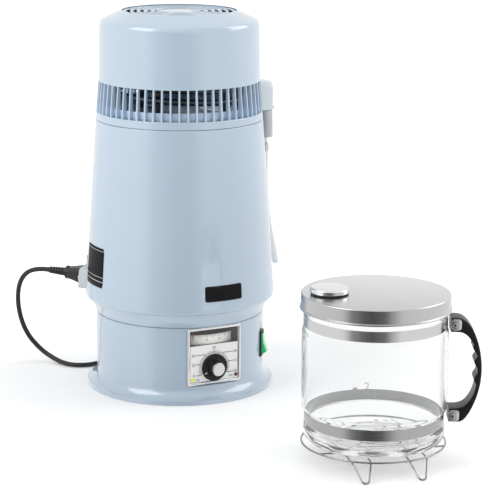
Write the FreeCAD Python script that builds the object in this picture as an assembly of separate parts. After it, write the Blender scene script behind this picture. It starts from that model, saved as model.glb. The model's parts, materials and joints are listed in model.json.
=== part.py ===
import FreeCAD, Part
import math
import os

# Countertop water distiller: a painted still with a lift-off fan head, and a glass jug on a wire stand.
# Millimetres. The origin is on the floor under the still's axis, +Z up, the controller faces -Y.
# Angles go round the still from -Y towards +X, so a piece built facing -Y is turned by its angle.

os.makedirs("parts", exist_ok=True)

V = FreeCAD.Vector
Z_AXIS = V(0, 0, 1)
ORIGIN = V(0, 0, 0)

# General fits
seat_gap = 0.3
label_gap = 0.05
running_gap = 0.05
easy_gap = 0.2

# Base housing
skirt_radius = 115.5
skirt_lip = 5.5
flare_top = 21.0
base_radius = 103.8
base_height = 92.9
base_wall = 1.6
base_flange_inner_radius = 88.0
base_bottom_thickness = 1.5
boss_radius = 5.0
boss_circle = 98.0
boss_height = 36.0
boss_angles = (45, 135, 225, 315)
foot_radius = 9.0
foot_flange_radius = 11.0
foot_flange_height = 1.5
foot_circle = 78.0
bottom_screw_radius = 1.5
bottom_screw_head_radius = 3.0
bottom_screw_length = 12.0

# Collar between the base and the barrel
collar_height = 18.1
collar_groove_depth = 1.4
collar_groove_height = 1.5
collar_foot_radius = 104.4
collar_top_radius = 112.6
collar_hollow = 1.2
collar_wall = 2.4
collar_flange_inner_radius = 96.0

# Barrel shell
barrel_bottom_radius = 116.9
barrel_top_radius = 102.3
barrel_top = 332.2
barrel_wall = 1.5
barrel_roll = 6.3
barrel_lip = 4.6
barrel_flange = 7.4

# Boiler tank and what heats it
tank_inner_radius = 92.0
tank_wall = 1.2
tank_bottom = 140.0
tank_corner = 12.0
tank_rim_radius = 98.0
heater_inner_radius = 40.0
heater_outer_radius = 75.0
heater_thickness = 12.0
heater_terminal_radius = 2.5
heater_terminal_length = 12.0
thermostat_radius = 9.0
thermostat_height = 8.0
thermostat_tab_length = 7.0

# Head
head_crease_height = 451.3
head_crease_radius = 95.9
head_crease_round = 5.0
head_wall = 2.0
head_top = 464.4
head_ring_radius = 69.2
head_ring_bevel = 1.6
grille_drop = 5.0
grille_thickness = 2.2
grille_slot_radii = (28.0, 37.0, 45.6, 54.0, 62.0)
grille_slot_width = 5.0
grille_spoke_width = 5.0
grille_spokes = 8
vent_top = 379.0
vent_bottom = 341.9
vent_top_radius = 98.5
vent_bottom_radius = 101.7
vent_count = 60
vent_width = 8.4
gasket_thickness = 1.6
gasket_inner_radius = 88.0
floor_thickness = 1.5
floor_rim_radius = 96.0
floor_rim_height = 15.0
floor_rim_wall = 1.2
cover_seat_width = 3.0
cover_seat_height = 2.0

# Spout on the head's side
spout_angle = 86.0
spout_width = 36.0
spout_outer = 119.0
spout_top = 373.5
spout_height = 35.9
spout_round = 9.0
spigot_depth = 6.0

# Condenser coil and the fan over it
coil_tube_radius = 4.0
coil_turn_radius = 78.0
coil_pitch = 14.0
coil_half_turns = 6
coil_lead_angle = 10.0
outlet_height = 358.0
outlet_reach = 106.0
riser_in = 28.0
riser_back = 36.0
riser_run = 24.0
fan_motor_radius = 24.0
fan_motor_height = 24.0
fan_hub_radius = 22.0
fan_hub_height = 10.0
fan_radius = 66.0
fan_blades = 6
fan_blade_thickness = 1.6
fan_blade_pitch_angle = 28.0
fan_blade_chord = 17.0
fan_shaft_radius = 2.0
fan_lift = 1.0
bracket_thickness = 1.5
bracket_width = 12.0
bracket_legs = 3
bracket_foot = 15.0
bracket_turn = 75.0

# Filter cup under the spout, and its drip hose
cup_inner_side = 105.9
cup_outer_side = 118.4
cup_width = 34.0
cup_height = 34.0
cup_wall = 1.3
cup_round = 5.0
pod_height = 22.0
neck_radius = 3.4
neck_height = 9.5
barb_radius = 2.5
barb_length = 6.0
hose_radius = 4.1
hose_bore_radius = 2.7
hose_out = 113.8
collar_clip_radius = 5.0
collar_clip_height = 9.6
# Drip hose route in the plane of the spout: distance from the still's axis, height
hose_route = ((113.8, 243.0), (117.0, 208.0), (122.2, 175.0), (130.2, 139.7))

# Temperature controller
panel_height = 56.1
panel_size = 72.0
bezel_corner = 3.0
bezel_rim = 4.0
bezel_thickness = 2.5
panel_distance = 96.5
case_size = 66.0
case_depth = 70.0
face_thickness = 1.0
face_recess = 1.1
window_height = 18.3
window_width = 61.0
scale_radius = 60.0
scale_thickness = 1.0
scale_height = 11.5
scale_half_angle = 27.0
meter_gap = 1.0
pointer_thickness = 0.6
pointer_half_width = 0.6
pointer_rest_angle = 24.0
pointer_hub_radius = 3.0
pointer_pin_radius = 1.0
knob_drop = 15.0
knob_skirt_radius = 17.0
knob_skirt_thickness = 3.6
knob_boss_radius = 10.6
knob_boss_tip_radius = 9.6
knob_height = 12.6
knob_cap_radius = 8.25
knob_cap_height = 1.6
knob_cap_sink = 0.6
shaft_radius = 3.0
shaft_depth = 14.0
lamp_radius = 2.4
lamp_height = 1.4
lamp_left = (-28.6, -28.6)
lamp_right = (29.6, -27.6)
lamp_depth = 3.0

# Rocker switch on the base
switch_angle = 51.0
switch_height = 54.0
switch_width = 16.0
switch_tall = 33.0
switch_proud = 2.0
switch_body_width = 14.6
switch_body_tall = 29.0
switch_body_depth = 20.0
switch_cavity_width = 11.6
switch_cavity_tall = 26.0
rocker_radius = 12.6
rocker_back = 8.0
rocker_front_ends = 5.0
rocker_front_middle = 3.4
rocker_sink = 1.5
rocker_tilt = 12.0
rocker_pin_radius = 1.2
rocker_pin_reach = 1.0

# Power inlet and fan socket at the back of the barrel
inlet_angle = -130.0
inlet_height = 127.3
surround_width = 50.0
surround_tall = 25.0
surround_face = 124.0
inlet_width = 28.0
inlet_tall = 20.0
inlet_depth = 26.0
inlet_cavity_width = 24.6
inlet_cavity_tall = 16.6
inlet_cavity_depth = 17.0
inlet_pin_width = 2.0
inlet_pin_tall = 4.0
inlet_pin_pitch = 7.0
inlet_pin_rise = 2.0
inlet_screw_pitch = 40.0
inlet_screw_radius = 1.6
inlet_screw_head_radius = 3.2
inlet_screw_head_height = 1.4
fan_socket_height = 148.7
fan_socket_width = 24.0
fan_socket_tall = 14.0
fan_socket_proud = 2.5
fan_socket_depth = 16.0
fan_socket_pin_radius = 2.0
fan_socket_pin_pitch = 10.0

# Plates stuck on the barrel: middle angle, half angle, lower and upper height
name_plate_place = (2.5, 12.3, 127.2, 146.2)
rating_plate_place = (-91.0, 12.2, 133.7, 182.0)
plate_thickness = 0.5

# Mains lead: route in the part's frame, from the connector's boot to the coil's first straight
lead_radius = 3.0
connector_width = 24.0
connector_tall = 16.0
connector_nose_depth = 15.0
connector_grip_width = 27.0
connector_grip_tall = 19.0
connector_grip_length = 20.0
connector_ring_length = 4.0
connector_boot_radius = 5.2
connector_boot_length = 23.0
lead_first_run = 22.0
lead_route = ((-159.0, 143.9, 112.8), (-158.0, 154.6, 77.0), (-145.9, 160.8, 40.0),
              (-129.4, 155.7, 17.0), (-117.0, 140.4, 6.0), (-109.1, 116.2, 3.0),
              (-94.7, 100.5, 3.0), (-69.9, 98.5, 3.0), (-45.6, 119.8, 3.0), (-25.3, 147.6, 3.0))
lead_coil_centre = (33.9, 165.7)
lead_coil_heading = 63.0
lead_coil_radius = 44.0
lead_coil_pitch = 7.7
lead_coil_layer = 6.9
lead_coil_half_turns_in = 5
lead_coil_half_turns_out = 4
tail_route = ((14.0, 0.0), (30.0, 5.5), (45.0, 9.0))
tail_end = 58.0
plug_width = 36.0
plug_length = 34.0
plug_boot_length = 22.0
plug_boot_radius = 5.5
plug_pin_radius = 2.4
plug_pin_length = 19.0
plug_pin_pitch = 19.0

# Jug and its stand; the jug's own X runs out through the handle
jug_place = (64.0, -370.0)
jug_turn = -27.0
stand_wire_radius = 1.1
stand_ring_radius = 79.7
stand_ring_height = 20.3
stand_turn = -14.5
stand_wire_inner = 21.0
stand_wire_outer = 42.0
stand_leg_start = 66.0
stand_foot_out = 86.0
stand_tip_radius = 4.5
stand_cross_place = 36.0
jug_bottom_gap = 0.2
glass_foot_radius = 66.0
glass_corner_height = 11.0
glass_radius = 80.6
glass_wall = 3.0
glass_floor = 5.0
lower_groove = (76.5, 43.0, 56.2)
upper_groove = (78.3, 152.6, 165.9)
glass_shoulder = 5.0
glass_rim_radius = 79.0
glass_rim = 184.0
band_thickness = 0.6
band_gap = 0.1
band_margin = 0.5
ear_thickness = 2.0
ear_half_height = 6.0
ear_end = 94.0
handle_width = 26.0
handle_start = 81.2
handle_slot = 2.4
bolt_radius = 2.0
bolt_x = 86.0
bolt_heights = (53.0, 156.0)
washer_radius = 5.4
washer_thickness = 1.0
bolt_head_radius = 3.6
bolt_head_height = 2.0
lid_radius = 82.0
lid_lip_radius = 83.4
lid_bottom = 171.5
lid_top = 189.1
lid_wall = 0.8
lid_lip_height = 2.0
lid_seal_height = 2.4
lid_seal_width = 4.0
cap_x = -51.0
cap_y = -7.0
cap_radius = 21.4
cap_height = 8.0
cap_gasket_height = 1.6
cap_gasket_radius = 20.6
cap_round = 2.0
cap_dome = 1.2
fill_hole_radius = 14.0
cap_plug_radius = 13.5
cap_plug_depth = 5.0


def write(node, shape):
    shape.exportStep("parts/" + node + ".step")


def joined(first, *others):
    shape = first
    for other in others:
        shape = shape.fuse(other)
    return shape.removeSplitter()


def outline_edges(start, steps, place):
    """Straight steps are one point, arcs are a point on the way and an end point."""
    edges = []
    last = start
    for step in steps:
        if isinstance(step[0], tuple):
            edges.append(Part.Arc(place(*last), place(*step[0]), place(*step[1])).toShape())
            last = step[1]
        elif step != last:
            edges.append(Part.LineSegment(place(*last), place(*step)).toShape())
            last = step
    return edges


def outline_face(start, steps, place):
    return Part.Face(Part.Wire(outline_edges(start, tuple(steps) + (start,), place)))


def revolved(start, *steps):
    """A radius and height outline turned once round the Z axis."""
    face = outline_face(start, steps, lambda r, z: V(r, 0, z))
    return face.revolve(ORIGIN, Z_AXIS, 360)


def rod(radius, low, high, x=0, y=0):
    return Part.makeCylinder(radius, high - low, V(x, y, low))


def rod_y(radius, y_low, y_high, x=0, z=0):
    return Part.makeCylinder(radius, y_high - y_low, V(x, y_low, z), V(0, 1, 0))


def rod_x(radius, x_low, x_high, y=0, z=0):
    return Part.makeCylinder(radius, x_high - x_low, V(x_low, y, z), V(1, 0, 0))


def tube(outer, inner, low, high, x=0, y=0):
    return rod(outer, low, high, x, y).cut(rod(inner, low, high, x, y))


def block(x0, x1, y0, y1, z0, z1):
    return Part.makeBox(x1 - x0, y1 - y0, z1 - z0, V(x0, y0, z0))


def rounded_outline(width, tall, corner):
    """Start and steps of a centred rectangle with round corners."""
    w = width / 2
    t = tall / 2
    k = corner * (1 - math.sqrt(0.5))
    return (-w + corner, -t), (
        (w - corner, -t), ((w - k, -t + k), (w, -t + corner)),
        (w, t - corner), ((w - k, t - k), (w - corner, t)),
        (-w + corner, t), ((-w + k, t - k), (-w, t - corner)),
        (-w, -t + corner), ((-w + k, -t + k), (-w + corner, -t)))


def upright_plate(width, tall, corner, y0, y1, z=0.0, x=0.0):
    """A round-cornered plate that faces -Y."""
    start, steps = rounded_outline(width, tall, corner)
    edges = outline_edges(start, steps, lambda a, b: V(x + a, y0, z + b))
    return Part.Face(Part.Wire(edges)).extrude(V(0, y1 - y0, 0))


def flat_plate(width, tall, corner, z0, z1, x=0.0, y=0.0):
    """A round-cornered plate that lies flat."""
    start, steps = rounded_outline(width, tall, corner)
    edges = outline_edges(start, steps, lambda a, b: V(x + a, y + b, z0))
    return Part.Face(Part.Wire(edges)).extrude(V(0, 0, z1 - z0))


def turned(shape, angle):
    copy = shape.copy()
    copy.rotate(ORIGIN, Z_AXIS, angle)
    return copy


def round_place(angle, distance, z):
    a = math.radians(angle)
    return V(distance * math.sin(a), -distance * math.cos(a), z)


def each_angle(angles, make):
    shapes = []
    for angle in angles:
        shapes.append(turned(make(), angle))
    return shapes


def tangent_path(points):
    """Straight runs joined by tangent arcs; returns the wire, its length and the arc radii."""
    runs = [points[i + 1] - points[i] for i in range(len(points) - 1)]
    edges = []
    radii = []
    length = 0.0
    last = points[0]
    for i in range(1, len(points) - 1):
        before = V(runs[i - 1])
        after = V(runs[i])
        shorter = min(before.Length, after.Length)
        before.normalize()
        after.normalize()
        turn = before.getAngle(after)
        reach = 0.45 * shorter
        radius = reach / math.tan(turn / 2)
        start = points[i] - before * reach
        end = points[i] + after * reach
        inward = after - before
        inward.normalize()
        middle = points[i] + inward * (radius / math.cos(turn / 2) - radius)
        edges.append(Part.LineSegment(last, start).toShape())
        edges.append(Part.Arc(start, middle, end).toShape())
        length += (start - last).Length + radius * turn
        radii.append(radius)
        last = end
    edges.append(Part.LineSegment(last, points[-1]).toShape())
    length += (points[-1] - last).Length
    return edges, length, radii


def swept(edges, radius, heading):
    """A round bar of one radius along a chain of edges that starts along heading."""
    start = edges[0].Vertexes[0].Point
    circle = Part.Wire([Part.Circle(start, heading, radius).toShape()])
    return Part.Wire(edges).makePipeShell([circle], True, False)


def half_turn(start, end, side):
    """A half circle from start to end that bulges along side, which is square to both."""
    middle = (start + end) * 0.5 + side * ((end - start).Length / 2)
    return Part.Arc(start, middle, end).toShape()


# Heights and places that follow from the sizes above
collar_top = base_height + collar_height
barrel_bottom = collar_top
barrel_widest = barrel_bottom + barrel_roll
barrel_taper = (barrel_bottom_radius - barrel_top_radius) / (barrel_top - barrel_widest)
barrel_tilt = math.degrees(math.atan(barrel_taper))
tank_top = barrel_top + tank_wall
gasket_top = tank_top + gasket_thickness + easy_gap
floor_top = gasket_top + floor_thickness
head_bottom = barrel_top + seat_gap
recess_floor = head_top - grille_drop
spout_bottom = spout_top - spout_height
cup_top = spout_bottom - seat_gap
cup_bottom = cup_top - cup_height
hose_top = cup_bottom - neck_height
coil_top = outlet_height + coil_pitch * coil_half_turns / 2
motor_floor = coil_top + coil_tube_radius + seat_gap
motor_bottom = motor_floor + bracket_thickness
motor_top = motor_bottom + fan_motor_height
hub_bottom = motor_top + fan_lift
hub_top = hub_bottom + fan_hub_height
bezel_front = panel_distance + bezel_thickness
face_front = bezel_front - face_recess
face_back = face_front - face_thickness
bezel_opening = panel_size - 2 * bezel_rim
window_middle = panel_height + bezel_opening / 2 - window_height / 2
chamber_floor = window_middle - window_height / 2
chamber_top = chamber_floor + window_height
scale_top = chamber_floor + scale_height
pivot_distance = face_back - meter_gap - pointer_thickness - scale_radius
case_back = face_back - case_depth
knob_height_z = panel_height - knob_drop
glass_bottom = stand_ring_height + stand_wire_radius + jug_bottom_gap


def barrel_radius(z):
    return barrel_bottom_radius - (z - barrel_widest) * barrel_taper


def face_box(distance, low, high):
    """All that lies further out than a flat at this distance, towards -Y."""
    return block(-panel_size, panel_size, -skirt_radius - base_wall, -distance, low, high)


def base_outline(inset):
    """Base profile from the floor up, drawn in by inset."""
    run = skirt_radius - base_radius
    rise = flare_top - skirt_lip
    curve = (run * run + rise * rise) / (2 * run) + inset
    centre_r = base_radius - inset + curve
    turn = math.asin(rise / curve) if rise < curve else math.pi / 2
    middle = (centre_r - curve * math.cos(turn / 2), flare_top - curve * math.sin(turn / 2))
    end = (centre_r - curve, flare_top)
    return (centre_r - curve * math.cos(turn), flare_top - curve * math.sin(turn)), (middle, end)


def base_housing():
    lip_start, flare = base_outline(0.0)
    outer = revolved((0, 0), (skirt_radius, 0), lip_start, flare,
                     (base_radius, base_height), (0, base_height))
    inner_start, inner_flare = base_outline(base_wall)
    inner_lip = skirt_radius - base_wall
    inner = revolved((0, 0), (inner_lip, 0), (inner_lip, skirt_lip - base_wall),
                     (inner_start[0], skirt_lip - base_wall), inner_start, inner_flare,
                     (base_radius - base_wall, base_height - base_wall), (0, base_height - base_wall))
    facet_low = panel_height - panel_size / 2 - easy_gap
    outer = outer.cut(face_box(panel_distance, facet_low, base_height))
    inner = inner.cut(face_box(panel_distance - base_wall, facet_low - base_wall, base_height))
    shell = outer.cut(inner)
    shell = shell.cut(rod(base_flange_inner_radius, base_height - base_wall, base_height))
    posts = []
    for angle in boss_angles:
        place = round_place(angle, boss_circle, 0)
        posts.append(rod(boss_radius, base_bottom_thickness, boss_height, place.x, place.y))
    shell = joined(shell, *posts)
    hole = case_size + 2 * seat_gap
    shell = shell.cut(block(-hole / 2, hole / 2, -panel_distance, 1 - panel_distance + base_wall,
                            panel_height - hole / 2, panel_height + hole / 2))
    slot_width = switch_body_width + 2 * easy_gap
    slot_tall = switch_body_tall + 2 * easy_gap
    slot = block(-slot_width / 2, slot_width / 2, -base_radius - 1, -base_radius + 3 * base_wall,
                 switch_height - slot_tall / 2, switch_height + slot_tall / 2)
    shell = shell.cut(turned(slot, switch_angle))
    for angle in boss_angles:
        place = round_place(angle, boss_circle, 0)
        shell = shell.cut(rod(bottom_screw_radius + running_gap, base_bottom_thickness,
                              bottom_screw_length + 1, place.x, place.y))
    return shell


def bottom_plate():
    plate = rod(skirt_radius - base_wall - easy_gap, 0, base_bottom_thickness)
    for angle in boss_angles:
        place = round_place(angle, boss_circle, 0)
        plate = plate.cut(rod(bottom_screw_head_radius + easy_gap, 0, base_bottom_thickness / 2,
                              place.x, place.y))
        plate = plate.cut(rod(bottom_screw_radius + running_gap, 0, base_bottom_thickness,
                              place.x, place.y))
        place = round_place(angle, foot_circle, 0)
        plate = plate.cut(rod(foot_radius + running_gap, 0, base_bottom_thickness, place.x, place.y))
    return plate


def rubber_feet():
    feet = []
    for angle in boss_angles:
        place = round_place(angle, foot_circle, 0)
        pad = rod(foot_radius, 0, base_bottom_thickness, place.x, place.y)
        flange = rod(foot_flange_radius, base_bottom_thickness,
                     base_bottom_thickness + foot_flange_height, place.x, place.y)
        feet.append(joined(pad, flange))
    return Part.makeCompound(feet)


def bottom_screws():
    screws = []
    for angle in boss_angles:
        place = round_place(angle, boss_circle, 0)
        head = rod(bottom_screw_head_radius, easy_gap, base_bottom_thickness / 2, place.x, place.y)
        shank = rod(bottom_screw_radius, easy_gap, bottom_screw_length, place.x, place.y)
        screws.append(joined(head, shank))
    return Part.makeCompound(screws)


def collar_ring():
    groove = base_radius - collar_groove_depth
    low = base_height
    foot = low + collar_groove_height
    mid_r = (collar_foot_radius + collar_top_radius) / 2 - collar_hollow
    mid_z = (foot + collar_top) / 2
    flange = collar_top - collar_wall
    shift = collar_wall
    return revolved((collar_flange_inner_radius, collar_top), (collar_top_radius, collar_top),
                    ((mid_r, mid_z), (collar_foot_radius, foot)), (groove, foot), (groove, low),
                    (groove - shift, low), (groove - shift, foot),
                    ((mid_r - shift, mid_z), (collar_top_radius - shift, flange)),
                    (collar_flange_inner_radius, flange))


def barrel_shell():
    roll_out = barrel_bottom_radius - barrel_lip
    mid = (barrel_bottom_radius - 0.25 * barrel_lip, barrel_bottom + 0.28 * barrel_roll)
    w = barrel_wall
    inner_mid = (mid[0] - 0.7 * w, mid[1] + 0.7 * w)
    shell = revolved((roll_out - barrel_lip, barrel_bottom), (roll_out, barrel_bottom),
                     (mid, (barrel_bottom_radius, barrel_widest)), (barrel_top_radius, barrel_top),
                     (barrel_top_radius - barrel_flange, barrel_top),
                     (barrel_top_radius - barrel_flange, barrel_top - w),
                     (barrel_top_radius - w, barrel_top - w),
                     (barrel_bottom_radius - w, barrel_widest),
                     (inner_mid, (roll_out, barrel_bottom + w)), (roll_out - barrel_lip, barrel_bottom + w))
    inlet_hole = block(-inlet_width / 2 - easy_gap, inlet_width / 2 + easy_gap, -skirt_radius - barrel_lip,
                       -tank_rim_radius, inlet_height - inlet_tall / 2 - easy_gap,
                       inlet_height + inlet_tall / 2 + easy_gap)
    fan_hole = block(-fan_socket_width / 2 + 2, fan_socket_width / 2 - 2, -skirt_radius - barrel_lip,
                     -tank_rim_radius, fan_socket_height - fan_socket_tall / 2 + 2,
                     fan_socket_height + fan_socket_tall / 2 - 2)
    shell = shell.cut(on_wall(inlet_hole, inlet_height))
    shell = shell.cut(on_wall(fan_hole, fan_socket_height))
    for side in (-1, 1):
        hole = rod_y(inlet_screw_radius + running_gap, -skirt_radius - barrel_lip, -tank_rim_radius,
                     side * inlet_screw_pitch / 2, inlet_height)
        shell = shell.cut(on_wall(hole, inlet_height))
    return shell


def on_wall(shape, height):
    """Leans a shape built facing -Y back with the barrel's taper and turns it to the inlet."""
    copy = shape.copy()
    copy.rotate(V(0, -barrel_radius(height), height), V(1, 0, 0), -barrel_tilt)
    return turned(copy, inlet_angle)


def barrel_cone(extra):
    """The barrel's outer cone, grown by extra, with a plain cylinder under it."""
    foot = collar_top - barrel_roll
    return revolved((0, foot), (barrel_bottom_radius + extra, foot), (barrel_bottom_radius + extra, barrel_widest),
                    (barrel_top_radius + extra, barrel_top), (0, barrel_top))


def boiler_tank():
    out = tank_inner_radius + tank_wall
    k = tank_corner * (1 - math.sqrt(0.5))
    inner_corner = tank_corner - tank_wall
    ki = inner_corner * (1 - math.sqrt(0.5))
    floor = tank_bottom + tank_wall
    return revolved((0, tank_bottom), (out - tank_corner, tank_bottom),
                    ((out - k, tank_bottom + k), (out, tank_bottom + tank_corner)), (out, barrel_top),
                    (tank_rim_radius, barrel_top), (tank_rim_radius, tank_top),
                    (tank_inner_radius, tank_top), (tank_inner_radius, floor + inner_corner),
                    ((tank_inner_radius - ki, floor + ki), (tank_inner_radius - inner_corner, floor)),
                    (0, floor))


def heating_ring():
    low = tank_bottom - heater_thickness
    ring = tube(heater_outer_radius, heater_inner_radius, low, tank_bottom)
    middle = (heater_inner_radius + heater_outer_radius) / 2
    pins = []
    for side in (-1, 1):
        pins.append(rod(heater_terminal_radius, low - heater_terminal_length, low,
                        side * heater_inner_radius / 2, middle))
    return joined(ring, *pins)


def thermostat():
    low = tank_bottom - thermostat_height
    body = rod(thermostat_radius, low, tank_bottom)
    tabs = []
    for side in (-1, 1):
        x = side * thermostat_radius / 2
        tabs.append(block(x - 0.5, x + 0.5, -3, 3, low - thermostat_tab_length, low))
    return joined(body, *tabs)


def inlet_surround():
    body = block(-surround_width / 2, surround_width / 2, -surround_face, -barrel_radius(inlet_height) + 6,
                 inlet_height - surround_tall / 2, inlet_height + surround_tall / 2)
    body = body.common(upright_plate(surround_width, surround_tall, 4.0, -surround_face, -tank_rim_radius,
                                     inlet_height))
    opening = block(-inlet_width / 2 - running_gap, inlet_width / 2 + running_gap, -surround_face - 1,
                    -tank_rim_radius, inlet_height - inlet_tall / 2 - running_gap,
                    inlet_height + inlet_tall / 2 + running_gap)
    body = body.cut(opening)
    for side in (-1, 1):
        body = body.cut(rod_y(inlet_screw_radius + running_gap, -surround_face - 1, -tank_rim_radius,
                              side * inlet_screw_pitch / 2, inlet_height))
    return on_wall(body, inlet_height).cut(barrel_cone(label_gap))


def inlet_pin_places():
    return ((-inlet_pin_pitch, -inlet_pin_rise), (inlet_pin_pitch, -inlet_pin_rise), (0, inlet_pin_rise))


def power_inlet():
    front = -surround_face
    body = upright_plate(inlet_width, inlet_tall, 2.0, front, front + inlet_depth, inlet_height)
    cavity = upright_plate(inlet_cavity_width, inlet_cavity_tall, 1.5, front - 1,
                           front + inlet_cavity_depth, inlet_height)
    body = body.cut(cavity)
    pins = []
    for x, rise in inlet_pin_places():
        z = inlet_height + rise
        pins.append(block(x - inlet_pin_width / 2, x + inlet_pin_width / 2, front + 4,
                          front + inlet_depth + 6, z - inlet_pin_tall / 2, z + inlet_pin_tall / 2))
    return on_wall(joined(body, *pins), inlet_height)


def inlet_screws():
    screws = []
    for side in (-1, 1):
        x = side * inlet_screw_pitch / 2
        head = rod_y(inlet_screw_head_radius, -surround_face - inlet_screw_head_height,
                     -surround_face, x, inlet_height)
        shank = rod_y(inlet_screw_radius, -surround_face, -barrel_radius(inlet_height) + 8, x, inlet_height)
        screws.append(on_wall(joined(head, shank), inlet_height))
    return Part.makeCompound(screws)


def fan_socket():
    front = -barrel_radius(fan_socket_height) - fan_socket_proud
    face = upright_plate(fan_socket_width, fan_socket_tall, 2.0, front, front + fan_socket_proud,
                         fan_socket_height)
    body = upright_plate(fan_socket_width - 5, fan_socket_tall - 5, 1.0, front,
                         front + fan_socket_depth, fan_socket_height)
    shape = joined(face, body)
    for side in (-1, 1):
        shape = shape.cut(rod_y(fan_socket_pin_radius, front - 1, front + 10,
                                side * fan_socket_pin_pitch / 2, fan_socket_height))
    return on_wall(shape, fan_socket_height)


def barrel_plate(place):
    middle, half, low, high = place
    skin = barrel_cone(label_gap + plate_thickness).cut(barrel_cone(label_gap))
    reach = barrel_bottom_radius + 10
    side = reach * math.tan(math.radians(half))
    wedge = Part.Face(Part.makePolygon([V(0, 0, low), V(-side, -reach, low), V(side, -reach, low),
                                        V(0, 0, low)])).extrude(V(0, 0, high - low))
    return skin.common(turned(wedge, middle))


def controller_bezel():
    outer = upright_plate(panel_size, panel_size, bezel_corner, -bezel_front, -panel_distance, panel_height)
    inner = upright_plate(bezel_opening, bezel_opening, 1.2, -bezel_front - 1, -panel_distance + 1,
                          panel_height)
    return outer.cut(inner)


def lamp_places():
    return (lamp_left, lamp_right)


def controller_case():
    half = case_size / 2
    body = block(-half, half, -face_back + label_gap, -case_back, panel_height - half, panel_height + half)
    opening = bezel_opening / 2 - easy_gap
    neck = block(-opening, opening, -face_back + label_gap, -panel_distance + 0.5,
                 panel_height - opening, panel_height + opening)
    lip = block(-half - 1, half + 1, -face_back, -panel_distance, panel_height - half - 1,
                panel_height + half + 1)
    body = joined(body.cut(lip), neck)
    chamber = block(-window_width / 2, window_width / 2, -face_back - 1, -case_back - 3,
                    chamber_floor, chamber_top)
    body = body.cut(chamber)
    body = body.cut(rod_y(shaft_radius + running_gap, -face_back - 1, -face_back + shaft_depth + 1,
                          0, knob_height_z))
    for x, z in lamp_places():
        body = body.cut(rod_y(lamp_radius + running_gap, -face_back - 1, -face_back + lamp_depth,
                              x, panel_height + z))
    pin = rod(pointer_pin_radius, chamber_floor - 1, chamber_top + 1, 0, -pivot_distance)
    return joined(body, pin)


def controller_face():
    top = chamber_floor - easy_gap
    low = panel_height - bezel_opening / 2 + easy_gap
    half = bezel_opening / 2 - easy_gap
    face = block(-half, half, -face_front, -face_back, low, top)
    face = face.cut(rod_y(shaft_radius + easy_gap, -face_front - 1, -face_back + 1, 0, knob_height_z))
    for x, z in lamp_places():
        face = face.cut(rod_y(lamp_radius + running_gap, -face_front - 1, -face_back + 1,
                              x, panel_height + z))
    return face


def meter_window():
    half = bezel_opening / 2 - easy_gap
    return block(-half, half, -face_front, -face_back, chamber_floor,
                 panel_height + bezel_opening / 2 - easy_gap)


def meter_sector(inner, outer, half_angle, low, high):
    """Part of an upright ring about the pointer's pivot, facing -Y."""
    a = math.radians(half_angle)
    start = (-outer * math.sin(a), -outer * math.cos(a))
    steps = (((0, -outer), (outer * math.sin(a), -outer * math.cos(a))),
             (inner * math.sin(a), -inner * math.cos(a)),
             ((0, -inner), (-inner * math.sin(a), -inner * math.cos(a))))
    face = outline_face(start, steps, lambda x, y: V(x, y - pivot_distance, low))
    return face.extrude(V(0, 0, high - low))


def meter_scale():
    return meter_sector(scale_radius - scale_thickness, scale_radius, scale_half_angle,
                        chamber_floor, scale_top)


def meter_pointer():
    """A hub on the pivot pin, an arm over the scale and a tip bent down in front of it."""
    arm_low = scale_top + 1.0
    arm_high = arm_low + 1.2
    tip_out = scale_radius + meter_gap / 2 + pointer_thickness
    hub = tube(pointer_hub_radius, pointer_pin_radius + running_gap, chamber_floor + seat_gap,
               chamber_top - seat_gap)
    arm = block(-pointer_half_width, pointer_half_width, -tip_out,
                -pointer_pin_radius - 1, arm_low, arm_high)
    tip = block(-pointer_half_width, pointer_half_width, -tip_out, -tip_out + pointer_thickness,
                scale_top - 4.0, arm_high)
    shape = joined(hub, arm, tip)
    shape.rotate(ORIGIN, Z_AXIS, -pointer_rest_angle)
    shape.translate(V(0, -pivot_distance, 0))
    return shape


def lamp(place):
    x, z = place
    base = rod_y(lamp_radius, -face_front - 0.4, -face_back + lamp_depth - 0.5, x, panel_height + z)
    ball = (lamp_radius ** 2 + lamp_height ** 2) / (2 * lamp_height)
    dome = Part.makeSphere(ball, V(x, -face_front - 0.4 - lamp_height + ball, panel_height + z))
    front = rod_y(lamp_radius, -face_front - 0.4 - lamp_height, -face_front - 0.4, x, panel_height + z)
    return joined(base, dome.common(front))


def temperature_knob():
    back = -face_front - seat_gap
    skirt = rod_y(knob_skirt_radius, back - knob_skirt_thickness, back, 0, knob_height_z)
    boss = Part.makeCone(knob_boss_radius, knob_boss_tip_radius, knob_height - knob_skirt_thickness,
                         V(0, back - knob_skirt_thickness, knob_height_z), V(0, -1, 0))
    shape = joined(skirt, boss)
    shape = shape.cut(rod_y(shaft_radius, back - knob_height / 2, back + 1, 0, knob_height_z))
    return shape.cut(rod_y(knob_cap_radius, back - knob_height - 1, back - knob_height + knob_cap_sink,
                           0, knob_height_z))


def knob_cap():
    front = -face_front - seat_gap - knob_height
    body = rod_y(knob_cap_radius - running_gap, front - knob_cap_height + knob_cap_sink,
                 front + knob_cap_sink, 0, knob_height_z)
    return body


def control_shaft():
    back = -face_front - seat_gap
    return rod_y(shaft_radius, back - knob_height / 2, -face_back + shaft_depth, 0, knob_height_z)


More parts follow.
